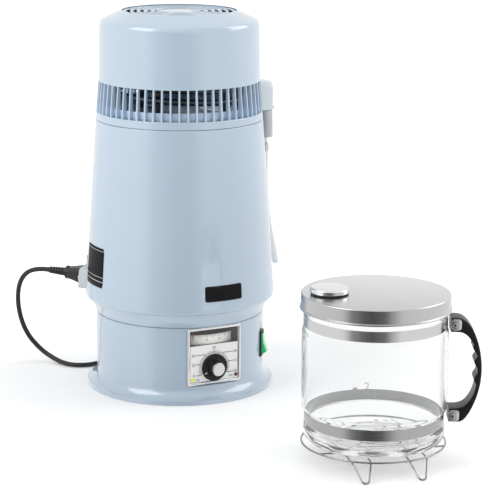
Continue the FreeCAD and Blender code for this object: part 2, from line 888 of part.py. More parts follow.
def switch_frame():
    front = -base_radius - switch_proud
    plate = upright_plate(switch_width, switch_tall, 2.0, front, -base_radius, switch_height)
    body = block(-switch_body_width / 2, switch_body_width / 2, front, front + switch_body_depth,
                 switch_height - switch_body_tall / 2, switch_height + switch_body_tall / 2)
    cavity = block(-switch_cavity_width / 2, switch_cavity_width / 2, front - 1,
                   front + switch_body_depth - 3, switch_height - switch_cavity_tall / 2,
                   switch_height + switch_cavity_tall / 2)
    shape = joined(plate, body).cut(cavity)
    reach = switch_cavity_width / 2 + rocker_pin_reach + easy_gap
    pins = rod_x(rocker_pin_radius + running_gap, -reach, reach, front + rocker_sink, switch_height)
    return turned(shape.cut(pins), switch_angle)


def switch_rocker():
    """A shallow V across a round back, so its ends stay clear of the frame at any tilt."""
    pivot_y = -base_radius - switch_proud + rocker_sink
    half = switch_cavity_width / 2 - seat_gap
    edge_z = math.sqrt(rocker_radius ** 2 - rocker_front_ends ** 2)
    back_z = math.sqrt(rocker_radius ** 2 - rocker_back ** 2)
    start = (edge_z, -rocker_front_ends)
    steps = ((0, -rocker_front_middle), (-edge_z, -rocker_front_ends),
             ((-rocker_radius, 0), (-back_z, rocker_back)), (back_z, rocker_back),
             ((rocker_radius, 0), start))
    edges = outline_edges(start, steps, lambda z, y: V(-half, y, z))
    body = Part.Face(Part.Wire(edges)).extrude(V(2 * half, 0, 0))
    reach = switch_cavity_width / 2 + rocker_pin_reach
    shape = joined(body, rod_x(rocker_pin_radius, -reach, reach))
    shape.rotate(ORIGIN, V(1, 0, 0), -rocker_tilt)
    shape.translate(V(0, pivot_y, switch_height))
    return turned(shape, switch_angle)


def vent_radius(z):
    share = (z - vent_bottom) / (vent_top - vent_bottom)
    return vent_bottom_radius + (vent_top_radius - vent_bottom_radius) * share


def cover_solid(inset, low):
    """The cover's outer form, drawn in by inset, from low up to the grille ring."""
    slope_run = head_crease_radius - head_crease_round / 2 - head_ring_radius
    wall_top = head_crease_height - head_crease_round
    crease = head_crease_radius - inset
    lift = inset * 0.9
    round_mid = (crease + 0.1 - head_crease_round * 0.12, head_crease_height - head_crease_round * 0.1 - lift)
    round_end = (crease - head_crease_round * 0.62, head_crease_height + head_crease_round * 0.35 - lift)
    ring_out = head_ring_radius + head_ring_bevel
    start = (0, low)
    steps = [(barrel_top_radius - inset, low), (vent_bottom_radius - inset, vent_bottom),
             (vent_top_radius - inset, vent_top), (crease + 1.2, wall_top - lift),
             (round_mid, round_end), (ring_out, head_top - 0.5 - lift)]
    if inset == 0.0:
        steps.append(((head_ring_radius + 0.5, head_top), (head_ring_radius - 1.0, head_top - 0.1)))
        steps.append((0, head_top - 0.1))
    else:
        steps.append((0, head_top - 0.5 - lift))
    assert slope_run > 0
    return revolved(start, *steps)


def vent_cutter():
    pitch = 360.0 / vent_count
    slots = []
    for i in range(vent_count):
        slot = block(-vent_width / 2, vent_width / 2, -vent_bottom_radius - 2, -floor_rim_radius + 2,
                     vent_bottom, vent_top)
        slots.append(turned(slot, spout_angle + i * pitch))
    return Part.makeCompound(slots)


def grille_cutter():
    low = recess_floor - grille_thickness - 1
    half = grille_slot_width / 2
    spokes = []
    pitch = 360.0 / grille_spokes
    for i in range(grille_spokes // 2):
        bar = block(-head_ring_radius, head_ring_radius, -grille_spoke_width / 2, grille_spoke_width / 2,
                    low - 1, head_top + 1)
        spokes.append(turned(bar, i * pitch))
    spoke_group = joined(*spokes)
    slots = []
    for radius in grille_slot_radii:
        ring = tube(radius + half, radius - half, low, head_top)
        slots.append(ring.cut(spoke_group))
    return Part.makeCompound(slots)


def head_cover():
    shell = cover_solid(0.0, head_bottom).cut(cover_solid(head_wall, head_bottom))
    well = rod(head_ring_radius, recess_floor - grille_thickness, head_top + 1)
    wall_out = head_ring_radius + head_wall
    skirt = tube(wall_out, head_ring_radius - 0.1, recess_floor - grille_thickness, head_top - 1.5)
    plate = rod(head_ring_radius + 1, recess_floor - grille_thickness, recess_floor)
    seat_out = barrel_top_radius - head_wall + 0.5
    seat = tube(seat_out, seat_out - cover_seat_width, floor_top, floor_top + cover_seat_height)
    shell = joined(shell.cut(well), skirt, plate, seat)
    return shell.cut(vent_cutter()).cut(grille_cutter())


def gasket_ring():
    return tube(tank_rim_radius, gasket_inner_radius, gasket_top - gasket_thickness, gasket_top)


def riser_start():
    """Where the steam pipe rises through the head's floor."""
    a = math.radians(spout_angle - coil_lead_angle)
    out = V(math.sin(a), -math.cos(a), 0)
    ahead = V(math.cos(a), math.sin(a), 0)
    return out, ahead


def head_floor():
    lean = (barrel_top_radius - vent_bottom_radius) / (vent_bottom - head_bottom)
    cover_inside = barrel_top_radius - lean * (floor_top - head_bottom) - head_wall
    disc = rod(cover_inside - easy_gap, gasket_top, floor_top)
    rim = tube(floor_rim_radius, floor_rim_radius - floor_rim_wall, gasket_top, floor_top + floor_rim_height)
    out, ahead = riser_start()
    hole = out * (coil_turn_radius - riser_in) - ahead * riser_back
    shape = joined(disc, rim)
    shape = shape.cut(rod(coil_tube_radius + running_gap, gasket_top - 1, floor_top + 1, hole.x, hole.y))
    notch = block(-vent_width / 2, vent_width / 2, -floor_rim_radius - 1, -floor_rim_radius + 3,
                  outlet_height - coil_tube_radius - 1, outlet_height + 2 * coil_tube_radius)
    return shape.cut(turned(notch, spout_angle))


def condenser_coil():
    """Steam pipe up from the floor, turns that climb down evenly, then out to the spout."""
    out, ahead = riser_start()
    up = V(0, 0, 1)
    foot = out * (coil_turn_radius - riser_in) - ahead * riser_back
    join = out * coil_turn_radius + up * coil_top
    entry = [foot + up * gasket_top, foot + up * coil_top, join - ahead * riser_run, join]
    edges, length, radii = tangent_path(entry)
    drop = coil_pitch / 2
    for i in range(coil_half_turns):
        side = 1 if i % 2 == 0 else -1
        start = out * (side * coil_turn_radius) + up * (coil_top - i * drop)
        end = out * (-side * coil_turn_radius) + up * (coil_top - (i + 1) * drop)
        edges.append(half_turn(start, end, ahead * side))
    a = math.radians(spout_angle)
    spout_out = V(math.sin(a), -math.cos(a), 0)
    lead = math.radians(coil_lead_angle)
    corner = spout_out * (coil_turn_radius / math.cos(lead)) + up * outlet_height
    exit_points = [out * coil_turn_radius + up * outlet_height, corner,
                   spout_out * outlet_reach + up * outlet_height]
    reach = (corner - exit_points[0]).Length * 0.98
    turn = math.pi / 2 - lead
    radius = reach / math.tan(turn / 2)
    before = corner - exit_points[0]
    before.normalize()
    start = corner - before * reach
    end = corner + spout_out * reach
    inward = spout_out - before
    inward.normalize()
    middle = corner + inward * (radius / math.cos(turn / 2) - radius)
    edges.append(Part.LineSegment(exit_points[0], start).toShape())
    edges.append(Part.Arc(start, middle, end).toShape())
    edges.append(Part.LineSegment(end, exit_points[2]).toShape())
    gap = coil_pitch - 2 * coil_tube_radius
    print("condenser coil: gap between turns %.2f mm, entry radii %s, exit radius %.1f"
          % (gap, [round(r, 1) for r in radii], radius))
    return swept(edges, coil_tube_radius, up)


def motor_bracket():
    outer = coil_turn_radius - coil_tube_radius - seat_gap
    w = bracket_width / 2
    t = bracket_thickness
    parts = []
    for i in range(bracket_legs):
        leg = block(-w, w, -outer, -outer + t, floor_top, motor_bottom)
        arm = block(-w, w, -outer, 0, motor_floor, motor_bottom)
        toe = block(-w, w, -outer, -outer + bracket_foot, floor_top, floor_top + t)
        keep = rod(outer, floor_top, motor_bottom)
        parts.append(turned(joined(leg, arm, toe).common(keep), bracket_turn + i * 360.0 / bracket_legs))
    return joined(rod(fan_motor_radius, motor_floor, motor_bottom), *parts)


def fan_motor():
    return joined(rod(fan_motor_radius, motor_bottom, motor_top), rod(fan_shaft_radius, motor_top, hub_top))


def fan_rotor():
    hub = tube(fan_hub_radius, fan_shaft_radius + running_gap, hub_bottom, hub_top)
    middle = (hub_bottom + hub_top) / 2
    blades = []
    for i in range(fan_blades):
        blade = block(fan_hub_radius - 2, fan_radius + 4, -fan_blade_chord / 2, fan_blade_chord / 2,
                      -fan_blade_thickness / 2, fan_blade_thickness / 2)
        blade.rotate(ORIGIN, V(1, 0, 0), fan_blade_pitch_angle)
        blade.translate(V(0, 0, middle))
        blade = blade.common(tube(fan_radius, fan_hub_radius - 1, hub_bottom, hub_top))
        blades.append(turned(blade, i * 360.0 / fan_blades))
    return joined(hub, *blades)


def spout_body():
    depth = spout_outer - barrel_top_radius + 8
    middle = spout_outer - depth / 2
    body = flat_plate(spout_width, depth, 5.0, spout_bottom, spout_top, 0, -middle)
    w = spout_width / 2
    k = spout_round * (1 - math.sqrt(0.5))
    crown = outline_face((-w, spout_bottom), ((w, spout_bottom), (w, spout_top - spout_round),
                                              ((w - k, spout_top - k), (w - spout_round, spout_top)),
                                              (-w + spout_round, spout_top),
                                              ((-w + k, spout_top - k), (-w, spout_top - spout_round))),
                         lambda x, z: V(x, -spout_outer - 1, z)).extrude(V(0, depth + 2, 0))
    body = body.common(crown)
    cup_middle = (cup_inner_side + cup_outer_side) / 2
    deep = cup_outer_side - cup_inner_side - 2 * cup_wall - 2 * seat_gap
    wide = cup_width - 2 * cup_wall - 2 * seat_gap
    spigot = flat_plate(wide, deep, cup_round - cup_wall - seat_gap, spout_bottom - spigot_depth,
                        spout_bottom, 0, -cup_middle)
    body = joined(body, spigot)
    body = body.cut(rod_y(coil_tube_radius + running_gap, -outlet_reach, 0, 0, outlet_height))
    body = body.cut(rod(barb_radius, spout_bottom - spigot_depth, outlet_height, 0, -outlet_reach - 3))
    body = body.cut(rod_y(barb_radius, -outlet_reach - 3, -outlet_reach + 1, 0, outlet_height))
    return turned(body, spout_angle).cut(cover_solid(-label_gap * 2, head_bottom))


def cup_form(inset, low, high, flare):
    """The cup's rounded box; it widens by flare towards its foot."""
    middle = (cup_inner_side + cup_outer_side) / 2
    deep = cup_outer_side - cup_inner_side - 2 * inset
    wide = cup_width - 2 * inset
    wires = []
    for z, extra in ((low, flare), (high, 0.0)):
        start, steps = rounded_outline(wide + extra, deep, cup_round - inset)
        edges = outline_edges(start, steps, lambda x, y: V(x, y - middle, z))
        wires.append(Part.Wire(edges))
    return Part.makeLoft(wires, True, True)


def filter_cup():
    body = cup_form(0.0, cup_bottom, cup_top, 2.4)
    body = body.cut(cup_form(cup_wall, cup_bottom + cup_wall, cup_top + 1, 2.4))
    neck = rod(neck_radius, hose_top, cup_bottom, 0, -hose_out)
    barb = rod(barb_radius, hose_top - barb_length, hose_top, 0, -hose_out)
    shape = joined(body, neck, barb)
    return turned(shape.cut(rod(barb_radius - 1, hose_top - barb_length - 1, cup_bottom + cup_wall + 1,
                                0, -hose_out)), spout_angle)


def charcoal_pod():
    low = cup_bottom + cup_wall + seat_gap
    return turned(cup_form(cup_wall + seat_gap, low, low + pod_height, 2.0), spout_angle)


def hose_points():
    first = [V(0, -hose_out, hose_top)]
    for distance, height in hose_route:
        first.append(V(0, -distance, height))
    return first


def drip_hose():
    edges, length, radii = tangent_path(hose_points())
    bore_edges = tangent_path(hose_points())[0]
    outer = swept(edges, hose_radius, V(0, 0, -1))
    bore = swept(bore_edges, hose_bore_radius, V(0, 0, -1))
    shape = outer.cut(bore)
    print("drip hose: length %.1f mm, arc radii %s, volume share %.4f"
          % (length, [round(r) for r in radii],
             shape.Volume / (math.pi * (hose_radius ** 2 - hose_bore_radius ** 2) * length)))
    return turned(shape, spout_angle)


def hose_collar():
    low = hose_top - collar_clip_height
    return turned(tube(collar_clip_radius, hose_radius + running_gap, low, hose_top, 0, -hose_out), spout_angle)


def inlet_frame():
    """Outward direction and foot of the inlet's axis, leaning with the barrel."""
    lean = math.radians(barrel_tilt)
    level = round_place(inlet_angle, 1.0, 0)
    out = level * math.cos(lean) + V(0, 0, math.sin(lean))
    foot = round_place(inlet_angle, barrel_radius(inlet_height), inlet_height)
    return foot, out


def connector_end():
    foot, out = inlet_frame()
    reach = surround_face - barrel_radius(inlet_height) + seat_gap
    return foot + out * (reach + connector_grip_length + connector_ring_length + connector_boot_length), out


def mains_connector():
    """Nose in the inlet, tapered grip, ring and ribbed boot."""
    face = -surround_face - seat_gap
    nose = upright_plate(connector_width, connector_tall, 1.2, face, face + connector_nose_depth, inlet_height)
    grip_end = face - connector_grip_length
    wires = []
    for y, wide, tall in ((face, connector_grip_width, connector_grip_tall),
                          (grip_end, connector_grip_width * 0.62, connector_grip_tall * 0.72)):
        start, steps = rounded_outline(wide, tall, 4.0)
        edges = outline_edges(start, steps, lambda a, b: V(a, y, inlet_height + b))
        wires.append(Part.Wire(edges))
    grip = Part.makeLoft(wires, True, True)
    ring_end = grip_end - connector_ring_length
    ring = rod_y(connector_grip_tall * 0.44, ring_end, grip_end, 0, inlet_height)
    boot_end = ring_end - connector_boot_length
    boot = Part.makeCone(connector_boot_radius, lead_radius + 0.9, connector_boot_length,
                         V(0, ring_end, inlet_height), V(0, -1, 0))
    assert boot_end < ring_end
    shape = joined(nose, grip, ring, boot)
    for x, rise in inlet_pin_places():
        z = inlet_height + rise
        slot = block(x - inlet_pin_width / 2 - easy_gap, x + inlet_pin_width / 2 + easy_gap, face - 1,
                     face + connector_nose_depth + 1, z - inlet_pin_tall / 2 - easy_gap,
                     z + inlet_pin_tall / 2 + easy_gap)
        shape = shape.cut(slot)
    return on_wall(shape, inlet_height)


def coil_frame():
    a = math.radians(lead_coil_heading)
    ahead = V(math.cos(a), math.sin(a), 0)
    left = V(-math.sin(a), math.cos(a), 0)
    centre = V(lead_coil_centre[0], lead_coil_centre[1], lead_radius)
    return centre, ahead, left


def lead_points():
    end, out = connector_end()
    points = [end, end + out * lead_first_run]
    for x, y, z in lead_route:
        points.append(V(x, y, z))
    centre, ahead, left = coil_frame()
    points.append(centre + left * lead_coil_radius - ahead * (2 * lead_radius))
    return points


def cord_tube(name, points):
    edges, length, radii = tangent_path(points)
    heading = points[1] - points[0]
    shape = swept(edges, lead_radius, heading)
    runs = [(points[i + 1] - points[i]).Length for i in range(len(points) - 1)]
    print("%s: length %.1f mm, arc radii %s, runs %s, volume share %.4f"
          % (name, length, [round(r, 1) for r in radii], [round(r) for r in runs],
             shape.Volume / (math.pi * lead_radius ** 2 * length)))
    return shape, length


def coil_stations():
    """Places, along the coil's left line, where each half turn starts and ends, with heights."""
    places = [(lead_coil_radius, 0.0)]
    step = lead_coil_pitch / 2
    side = 1
    radius = lead_coil_radius
    for i in range(lead_coil_half_turns_in):
        radius -= step
        side = -side
        places.append((side * radius, 0.0))
    side = -side
    places.append((side * radius, lead_coil_layer))
    for i in range(lead_coil_half_turns_out):
        radius += step
        side = -side
        places.append((side * radius, lead_coil_layer))
    return places


def coil_edges():
    centre, ahead, left = coil_frame()
    places = coil_stations()
    points = [centre + left * s + V(0, 0, h) for s, h in places]
    edges = [Part.LineSegment(points[0] - ahead * (2 * lead_radius), points[0]).toShape()]
    length = 2 * lead_radius
    way = 1
    for i in range(len(points) - 1):
        edges.append(half_turn(points[i], points[i + 1], ahead * way))
        length += math.pi * (points[i + 1] - points[i]).Length / 2
        way = -way
    edges.append(Part.LineSegment(points[-1], points[-1] + ahead * (way * 2 * lead_radius)).toShape())
    length += 2 * lead_radius
    return edges, length, points[-1] + ahead * (way * 2 * lead_radius), ahead * way


def least_self_gap(edges, bar_radius):
    """Least distance between stretches of the line that are over half a turn apart, less the bar."""
    samples = []
    travelled = 0.0
    for edge in edges:
        count = max(2, int(edge.Length / 2.5))
        for point in edge.discretize(count)[:-1]:
            samples.append((travelled, point))
            travelled += edge.Length / (count - 1)
    least = 1e9
    for i in range(len(samples)):
        for j in range(i + 1, len(samples)):
            if samples[j][0] - samples[i][0] > 60.0:
                least = min(least, (samples[j][1] - samples[i][1]).Length)
    return least - 2 * bar_radius


def mains_lead_coil():
    edges, length, end, way = coil_edges()
    centre, ahead, left = coil_frame()
    shape = swept(edges, lead_radius, ahead)
    print("mains lead coil: length %.1f mm, least self gap %.2f mm" % (length, least_self_gap(edges, lead_radius)))
    return shape, length


def tail_points():
    edges, length, end, way = coil_edges()
    centre, ahead, left = coil_frame()
    points = [end]
    for along, across in tail_route:
        points.append(end + way * along + left * across)
    points.append(end + way * tail_end + left * tail_route[-1][1])
    return points


def plug_frame():
    points = tail_points()
    way = points[-1] - points[-2]
    way.normalize()
    angle = math.degrees(math.atan2(way.y, way.x))
    return points[-1], angle


def placed_on_tail(shape):
    place, angle = plug_frame()
    copy = shape.copy()
    copy.rotate(ORIGIN, Z_AXIS, angle)
    copy.translate(V(place.x, place.y, place.z))
    return copy


def mains_plug():
    """Tapered boot and flat body; built along +X from the end of the lead."""
    place, angle = plug_frame()
    thick = 2 * place.z - 0.1
    start, steps = rounded_outline(plug_width, thick, 6.0)
    wires = []
    for x, share in ((plug_boot_length, 0.55), (plug_boot_length + plug_length * 0.45, 1.0)):
        s, t = rounded_outline(plug_width * share, thick * share, 5.0 * share)
        wires.append(Part.Wire(outline_edges(s, t, lambda a, b: V(x, a, b))))
    neck = Part.makeLoft(wires, True, True)
    edges = outline_edges(start, steps, lambda a, b: V(plug_boot_length + plug_length * 0.45, a, b))
    s, t = rounded_outline(plug_width, thick, 5.0)
    edges = outline_edges(s, t, lambda a, b: V(plug_boot_length + plug_length * 0.45, a, b))
    body = Part.Face(Part.Wire(edges)).extrude(V(plug_length * 0.55, 0, 0))
    boot = Part.makeCone(lead_radius + 0.9, plug_boot_radius, plug_boot_length, ORIGIN, V(1, 0, 0))
    shape = joined(body, neck, boot)
    face = plug_boot_length + plug_length
    for side in (-1, 1):
        y = side * plug_pin_pitch / 2
        shape = shape.cut(rod_x(plug_pin_radius, face - plug_pin_length / 2, face + 1, y, 0))
    return placed_on_tail(shape)


def plug_pins():
    face = plug_boot_length + plug_length
    pins = []
    for side in (-1, 1):
        y = side * plug_pin_pitch / 2
        pins.append(placed_on_tail(rod_x(plug_pin_radius, face - plug_pin_length / 2,
                                         face + plug_pin_length, y, 0)))
    return Part.makeCompound(pins)


def jug_placed(shape, turn=jug_turn):
    copy = shape.copy()
    copy.rotate(ORIGIN, Z_AXIS, turn)
    copy.translate(V(jug_place[0], jug_place[1], 0))
    return copy


def stand_loop(side):
    """One long wire loop under the ring, with a hairpin foot at each end."""
    wire = stand_wire_radius
    level = stand_ring_height - 2 * wire
    half = (stand_wire_outer - stand_wire_inner) / 2
    middle = side * (stand_wire_outer + stand_wire_inner) / 2
    halves = []
    for end in (-1, 1):
        foot_z = wire
        drop = V(end * (stand_foot_out - stand_leg_start), 0, foot_z - level)
        way = V(drop)
        way.normalize()
        centre_run = drop.Length - stand_tip_radius
        reach = math.sqrt(centre_run ** 2 + half ** 2)
        lean = math.atan2(half, centre_run) - math.asin(stand_tip_radius / reach)
        way_a = way * math.cos(lean) + V(0, math.sin(lean), 0)
        way_b = way * math.cos(lean) - V(0, math.sin(lean), 0)
        a0 = V(0, middle - half, level)
        a1 = V(end * stand_leg_start, middle - half, level)
        b1 = a1 + V(0, 2 * half, 0)
        b0 = a0 + V(0, 2 * half, 0)
        foot = V(end * stand_leg_start, middle, level)
        tip = foot + way * drop.Length
        touch = way * (centre_run + stand_tip_radius * math.sin(lean))
        beside = V(0, stand_tip_radius * math.cos(lean), 0)
        a2 = foot + touch - beside
        b2 = foot + touch + beside
        bend_in = stand_leg_start * 0.06
        t = V(end * 1.0, 0, 0)
        turn = t.getAngle(way_a)
        radius = bend_in / math.tan(turn / 2)
        inward_a = way_a - t
        inward_a.normalize()
        inward_b = way_b - t
        inward_b.normalize()
        rise = radius / math.cos(turn / 2) - radius
        edges = [Part.LineSegment(a0, a1 - t * bend_in).toShape(),
                 Part.Arc(a1 - t * bend_in, a1 + inward_a * rise, a1 + way_a * bend_in).toShape(),
                 Part.LineSegment(a1 + way_a * bend_in, a2).toShape(),
                 Part.Arc(a2, tip, b2).toShape(),
                 Part.LineSegment(b2, b1 + way_b * bend_in).toShape(),
                 Part.Arc(b1 + way_b * bend_in, b1 + inward_b * rise, b1 - t * bend_in).toShape(),
                 Part.LineSegment(b1 - t * bend_in, b0).toShape()]
        halves.append(swept(edges, wire, t))
    return halves


def jug_stand():
    wire = stand_wire_radius
    ring = Part.makeTorus(stand_ring_radius, wire, V(0, 0, stand_ring_height))
    pieces = [ring]
    for side in (-1, 1):
        pieces.extend(stand_loop(side))
    level = stand_ring_height - 2 * wire
    for side in (-1, 1):
        x = side * stand_cross_place
        reach = math.sqrt(stand_ring_radius ** 2 - x ** 2)
        cross = Part.makeCylinder(wire, 2 * reach, V(x, -reach, stand_ring_height), V(0, 1, 0))
        pieces.append(cross)
    weld = []
    for side in (-1, 1):
        for y in (stand_wire_inner, stand_wire_outer):
            for x in (-stand_cross_place, stand_cross_place):
                weld.append(rod(wire * 0.8, level, stand_ring_height, x, side * y))
    whole = joined(pieces[0], *(pieces[1:] + weld))
    return jug_placed(whole, stand_turn + 90)


def groove_profile():
    low_r, low_a, low_b = lower_groove
    up_r, up_a, up_b = upper_groove
    s = glass_shoulder
    return low_r, low_a, low_b, up_r, up_a, up_b, s


def jug_glass():
    low_r, low_a, low_b, up_r, up_a, up_b, s = groove_profile()
    w = glass_wall
    floor = glass_bottom + glass_floor
    run = low_r + 1.6 - glass_foot_radius
    round_r = (run ** 2 + glass_corner_height ** 2) / (2 * glass_corner_height)
    middle = (math.asin(glass_corner_height / round_r - 1) - math.pi / 2) / 2
    corner_r = glass_foot_radius + round_r * math.cos(middle)
    corner_z = glass_bottom + round_r * (1 + math.sin(middle))
    shape = revolved((0, glass_bottom), (glass_foot_radius, glass_bottom),
                     ((corner_r, corner_z), (low_r + 1.6, glass_bottom + glass_corner_height)),
                     (low_r + 1.6, low_a - 1.5), (low_r, low_a), (low_r, low_b),
                     (glass_radius, low_b + s), (glass_radius, up_a - s), (up_r, up_a), (up_r, up_b),
                     (glass_rim_radius, up_b + s), (glass_rim_radius, glass_rim),
                     (glass_rim_radius - w, glass_rim), (glass_rim_radius - w, up_b + s),
                     (up_r - w, up_b), (up_r - w, up_a), (glass_radius - w, up_a - s),
                     (glass_radius - w, low_b + s), (low_r - w, low_b), (low_r - w, low_a),
                     (low_r - w, floor + 6), (glass_foot_radius - 2, floor), (0, floor))
    return jug_placed(shape)


def band(groove, bolt_height):
    """A steel strap in the glass's groove, with an ear for the handle's bolt."""
    radius, low, high = groove
    inner = radius + band_gap
    ring = tube(inner + band_thickness, inner, low + band_margin, high - band_margin)
    t = ear_thickness / 2
    ear = block(inner + band_thickness / 2, ear_end, -t, t, bolt_height - ear_half_height,
                bolt_height + ear_half_height)
    root = block(inner + band_thickness / 2, handle_start + 2, -t, t,
                 max(low + band_margin, bolt_height - ear_half_height), high - band_margin)
    clear = tube(glass_radius + 20, glass_radius + seat_gap, 0, glass_rim)
    keep = rod(glass_radius + 1, low + band_margin, high - band_margin)
    ear = ear.common(clear).fuse(root.common(keep)).fuse(ear.common(keep))
    shape = joined(ring, ear)
    hole = rod_y(bolt_radius + running_gap, -handle_width, handle_width, bolt_x, bolt_height)
    return jug_placed(shape.cut(hole))


def jug_handle():
    """Grip with two bolted feet; the inside has hollows for the fingers."""
    low, high = bolt_heights
    foot = 7.5
    top = high + foot
    under = high - foot - 1
    over = low + foot + 0.5
    bottom = low - foot
    mid = (low + high) / 2
    out = 116.6
    start = (handle_start - 2, top)
    steps = ((92.0, top), ((109.8, high - 19), (out, mid - 0.5)), ((111.0, low + 16), (94.0, bottom)),
             (handle_start - 2, bottom), (handle_start - 2, over), (91.0, over),
             ((104.6, low + 13.5), (109.4, mid - 18)), ((112.0, mid - 8.5), (109.4, mid + 2)),
             ((111.8, mid + 12), (108.4, mid + 22)), ((104.0, high - 14.5), (91.0, under)),
             (handle_start - 2, under))
    face = outline_face(start, steps, lambda x, z: V(x, -handle_width / 2, z))
    body = face.extrude(V(0, handle_width, 0))
    body = body.cut(rod(handle_start, 0, glass_rim))
    for height in bolt_heights:
        slot = block(handle_start - 3, ear_end + 0.5, -handle_slot / 2, handle_slot / 2,
                     height - ear_half_height - seat_gap, height + ear_half_height + seat_gap)
        body = body.cut(slot)
        body = body.cut(rod_y(bolt_radius + running_gap, -handle_width, handle_width, bolt_x, height))
    return jug_placed(body)


def handle_bolts():
    bolts = []
    side = handle_width / 2
    for height in bolt_heights:
        shank = rod_y(bolt_radius, -side - washer_thickness, side + washer_thickness, bolt_x, height)
        washer_a = rod_y(washer_radius, -side - washer_thickness, -side, bolt_x, height)
        washer_b = rod_y(washer_radius, side, side + washer_thickness, bolt_x, height)
        head_a = rod_y(bolt_head_radius, -side - washer_thickness - bolt_head_height,
                       -side - washer_thickness, bolt_x, height)
        head_b = rod_y(bolt_head_radius, side + washer_thickness,
                       side + washer_thickness + bolt_head_height, bolt_x, height)
        bolts.append(jug_placed(joined(shank, washer_a, washer_b, head_a, head_b)))
    return Part.makeCompound(bolts)


def jug_lid():
    w = lid_wall
    lid = revolved((0, lid_top), (lid_radius, lid_top), (lid_radius, lid_bottom + lid_lip_height),
                   (lid_lip_radius, lid_bottom + lid_lip_height), (lid_lip_radius, lid_bottom),
                   (lid_radius - w, lid_bottom), (lid_radius - w, lid_top - w), (0, lid_top - w))
    return jug_placed(lid.cut(rod(fill_hole_radius, lid_top - 5, lid_top + 1, cap_x, cap_y)))


def lid_seal():
    low = glass_rim + seat_gap
    outer = glass_rim_radius + 1
    seal = tube(outer, outer - lid_seal_width, low, lid_top - lid_wall)
    return jug_placed(seal)


def fill_cap():
    low = lid_top + cap_gasket_height
    top = low + cap_height - cap_gasket_height
    r = cap_radius
    c = cap_round
    k = c * (1 - math.sqrt(0.5))
    ball = ((r - c) ** 2 + cap_dome ** 2) / (2 * cap_dome)
    half = math.asin((r - c) / ball) / 2
    dome = (ball * math.sin(half), top - ball * (1 - math.cos(half)))
    shape = revolved((0, lid_top - cap_plug_depth), (cap_plug_radius, lid_top - cap_plug_depth),
                     (cap_plug_radius, low), (r, low), (r, top - c - cap_dome),
                     ((r - k, top - cap_dome - k), (r - c, top - cap_dome)), (dome, (0, top)))
    shape.translate(V(cap_x, cap_y, 0))
    return jug_placed(shape)


def cap_gasket():
    ring = tube(cap_gasket_radius, cap_plug_radius + running_gap, lid_top + label_gap,
                lid_top + cap_gasket_height, cap_x, cap_y)
    return jug_placed(ring)


def build():
    write("base_housing", base_housing())
    write("bottom_plate", bottom_plate())
    write("rubber_feet", rubber_feet())
    write("bottom_screws", bottom_screws())
    write("collar_ring", collar_ring())
    write("barrel_shell", barrel_shell())
    write("boiler_tank", boiler_tank())
    write("heating_ring", heating_ring())
    write("thermostat", thermostat())
    write("inlet_surround", inlet_surround())
    write("power_inlet", power_inlet())
    write("inlet_screws", inlet_screws())
    write("fan_socket", fan_socket())
    write("name_plate", barrel_plate(name_plate_place))
    write("rating_plate", barrel_plate(rating_plate_place))
    write("controller_bezel", controller_bezel())
    write("controller_case", controller_case())
    write("controller_face", controller_face())
    write("meter_window", meter_window())
    write("meter_scale", meter_scale())
    write("meter_pointer", meter_pointer())
    write("heating_lamp", lamp(lamp_left))
    write("standby_lamp", lamp(lamp_right))
    write("temperature_knob", temperature_knob())
    write("knob_cap", knob_cap())
    write("control_shaft", control_shaft())
    write("switch_frame", switch_frame())
    write("switch_rocker", switch_rocker())
    write("head_cover", head_cover())
    write("head_floor", head_floor())
    write("gasket_ring", gasket_ring())
    write("condenser_coil", condenser_coil())
    write("motor_bracket", motor_bracket())
    write("fan_motor", fan_motor())
    write("fan_rotor", fan_rotor())
    write("spout_body", spout_body())
    write("filter_cup", filter_cup())
    write("charcoal_pod", charcoal_pod())
    write("hose_collar", hose_collar())
    write("drip_hose", drip_hose())
    write("mains_connector", mains_connector())
    lead, lead_length = cord_tube("mains lead", lead_points())
    write("mains_lead", lead)
    coil, coil_length = mains_lead_coil()
    write("mains_lead_coil", coil)
    tail, tail_length = cord_tube("mains lead end", tail_points())
    write("mains_lead_end", tail)
    print("mains lead: %.0f mm in all" % (lead_length + coil_length + tail_length))
    write("mains_plug", mains_plug())
    write("plug_pins", plug_pins())
    write("jug_stand", jug_stand())
    write("jug_glass", jug_glass())
    write("lower_band", band(lower_groove, bolt_heights[0]))
    write("upper_band", band(upper_groove, bolt_heights[1]))
    write("jug_handle", jug_handle())
    write("handle_bolts", handle_bolts())
    write("jug_lid", jug_lid())
    write("lid_seal", lid_seal())
    write("fill_cap", fill_cap())
    write("cap_gasket", cap_gasket())


build()
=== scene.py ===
import json
import math

import bmesh
import bpy
import numpy as np
from mathutils import Matrix

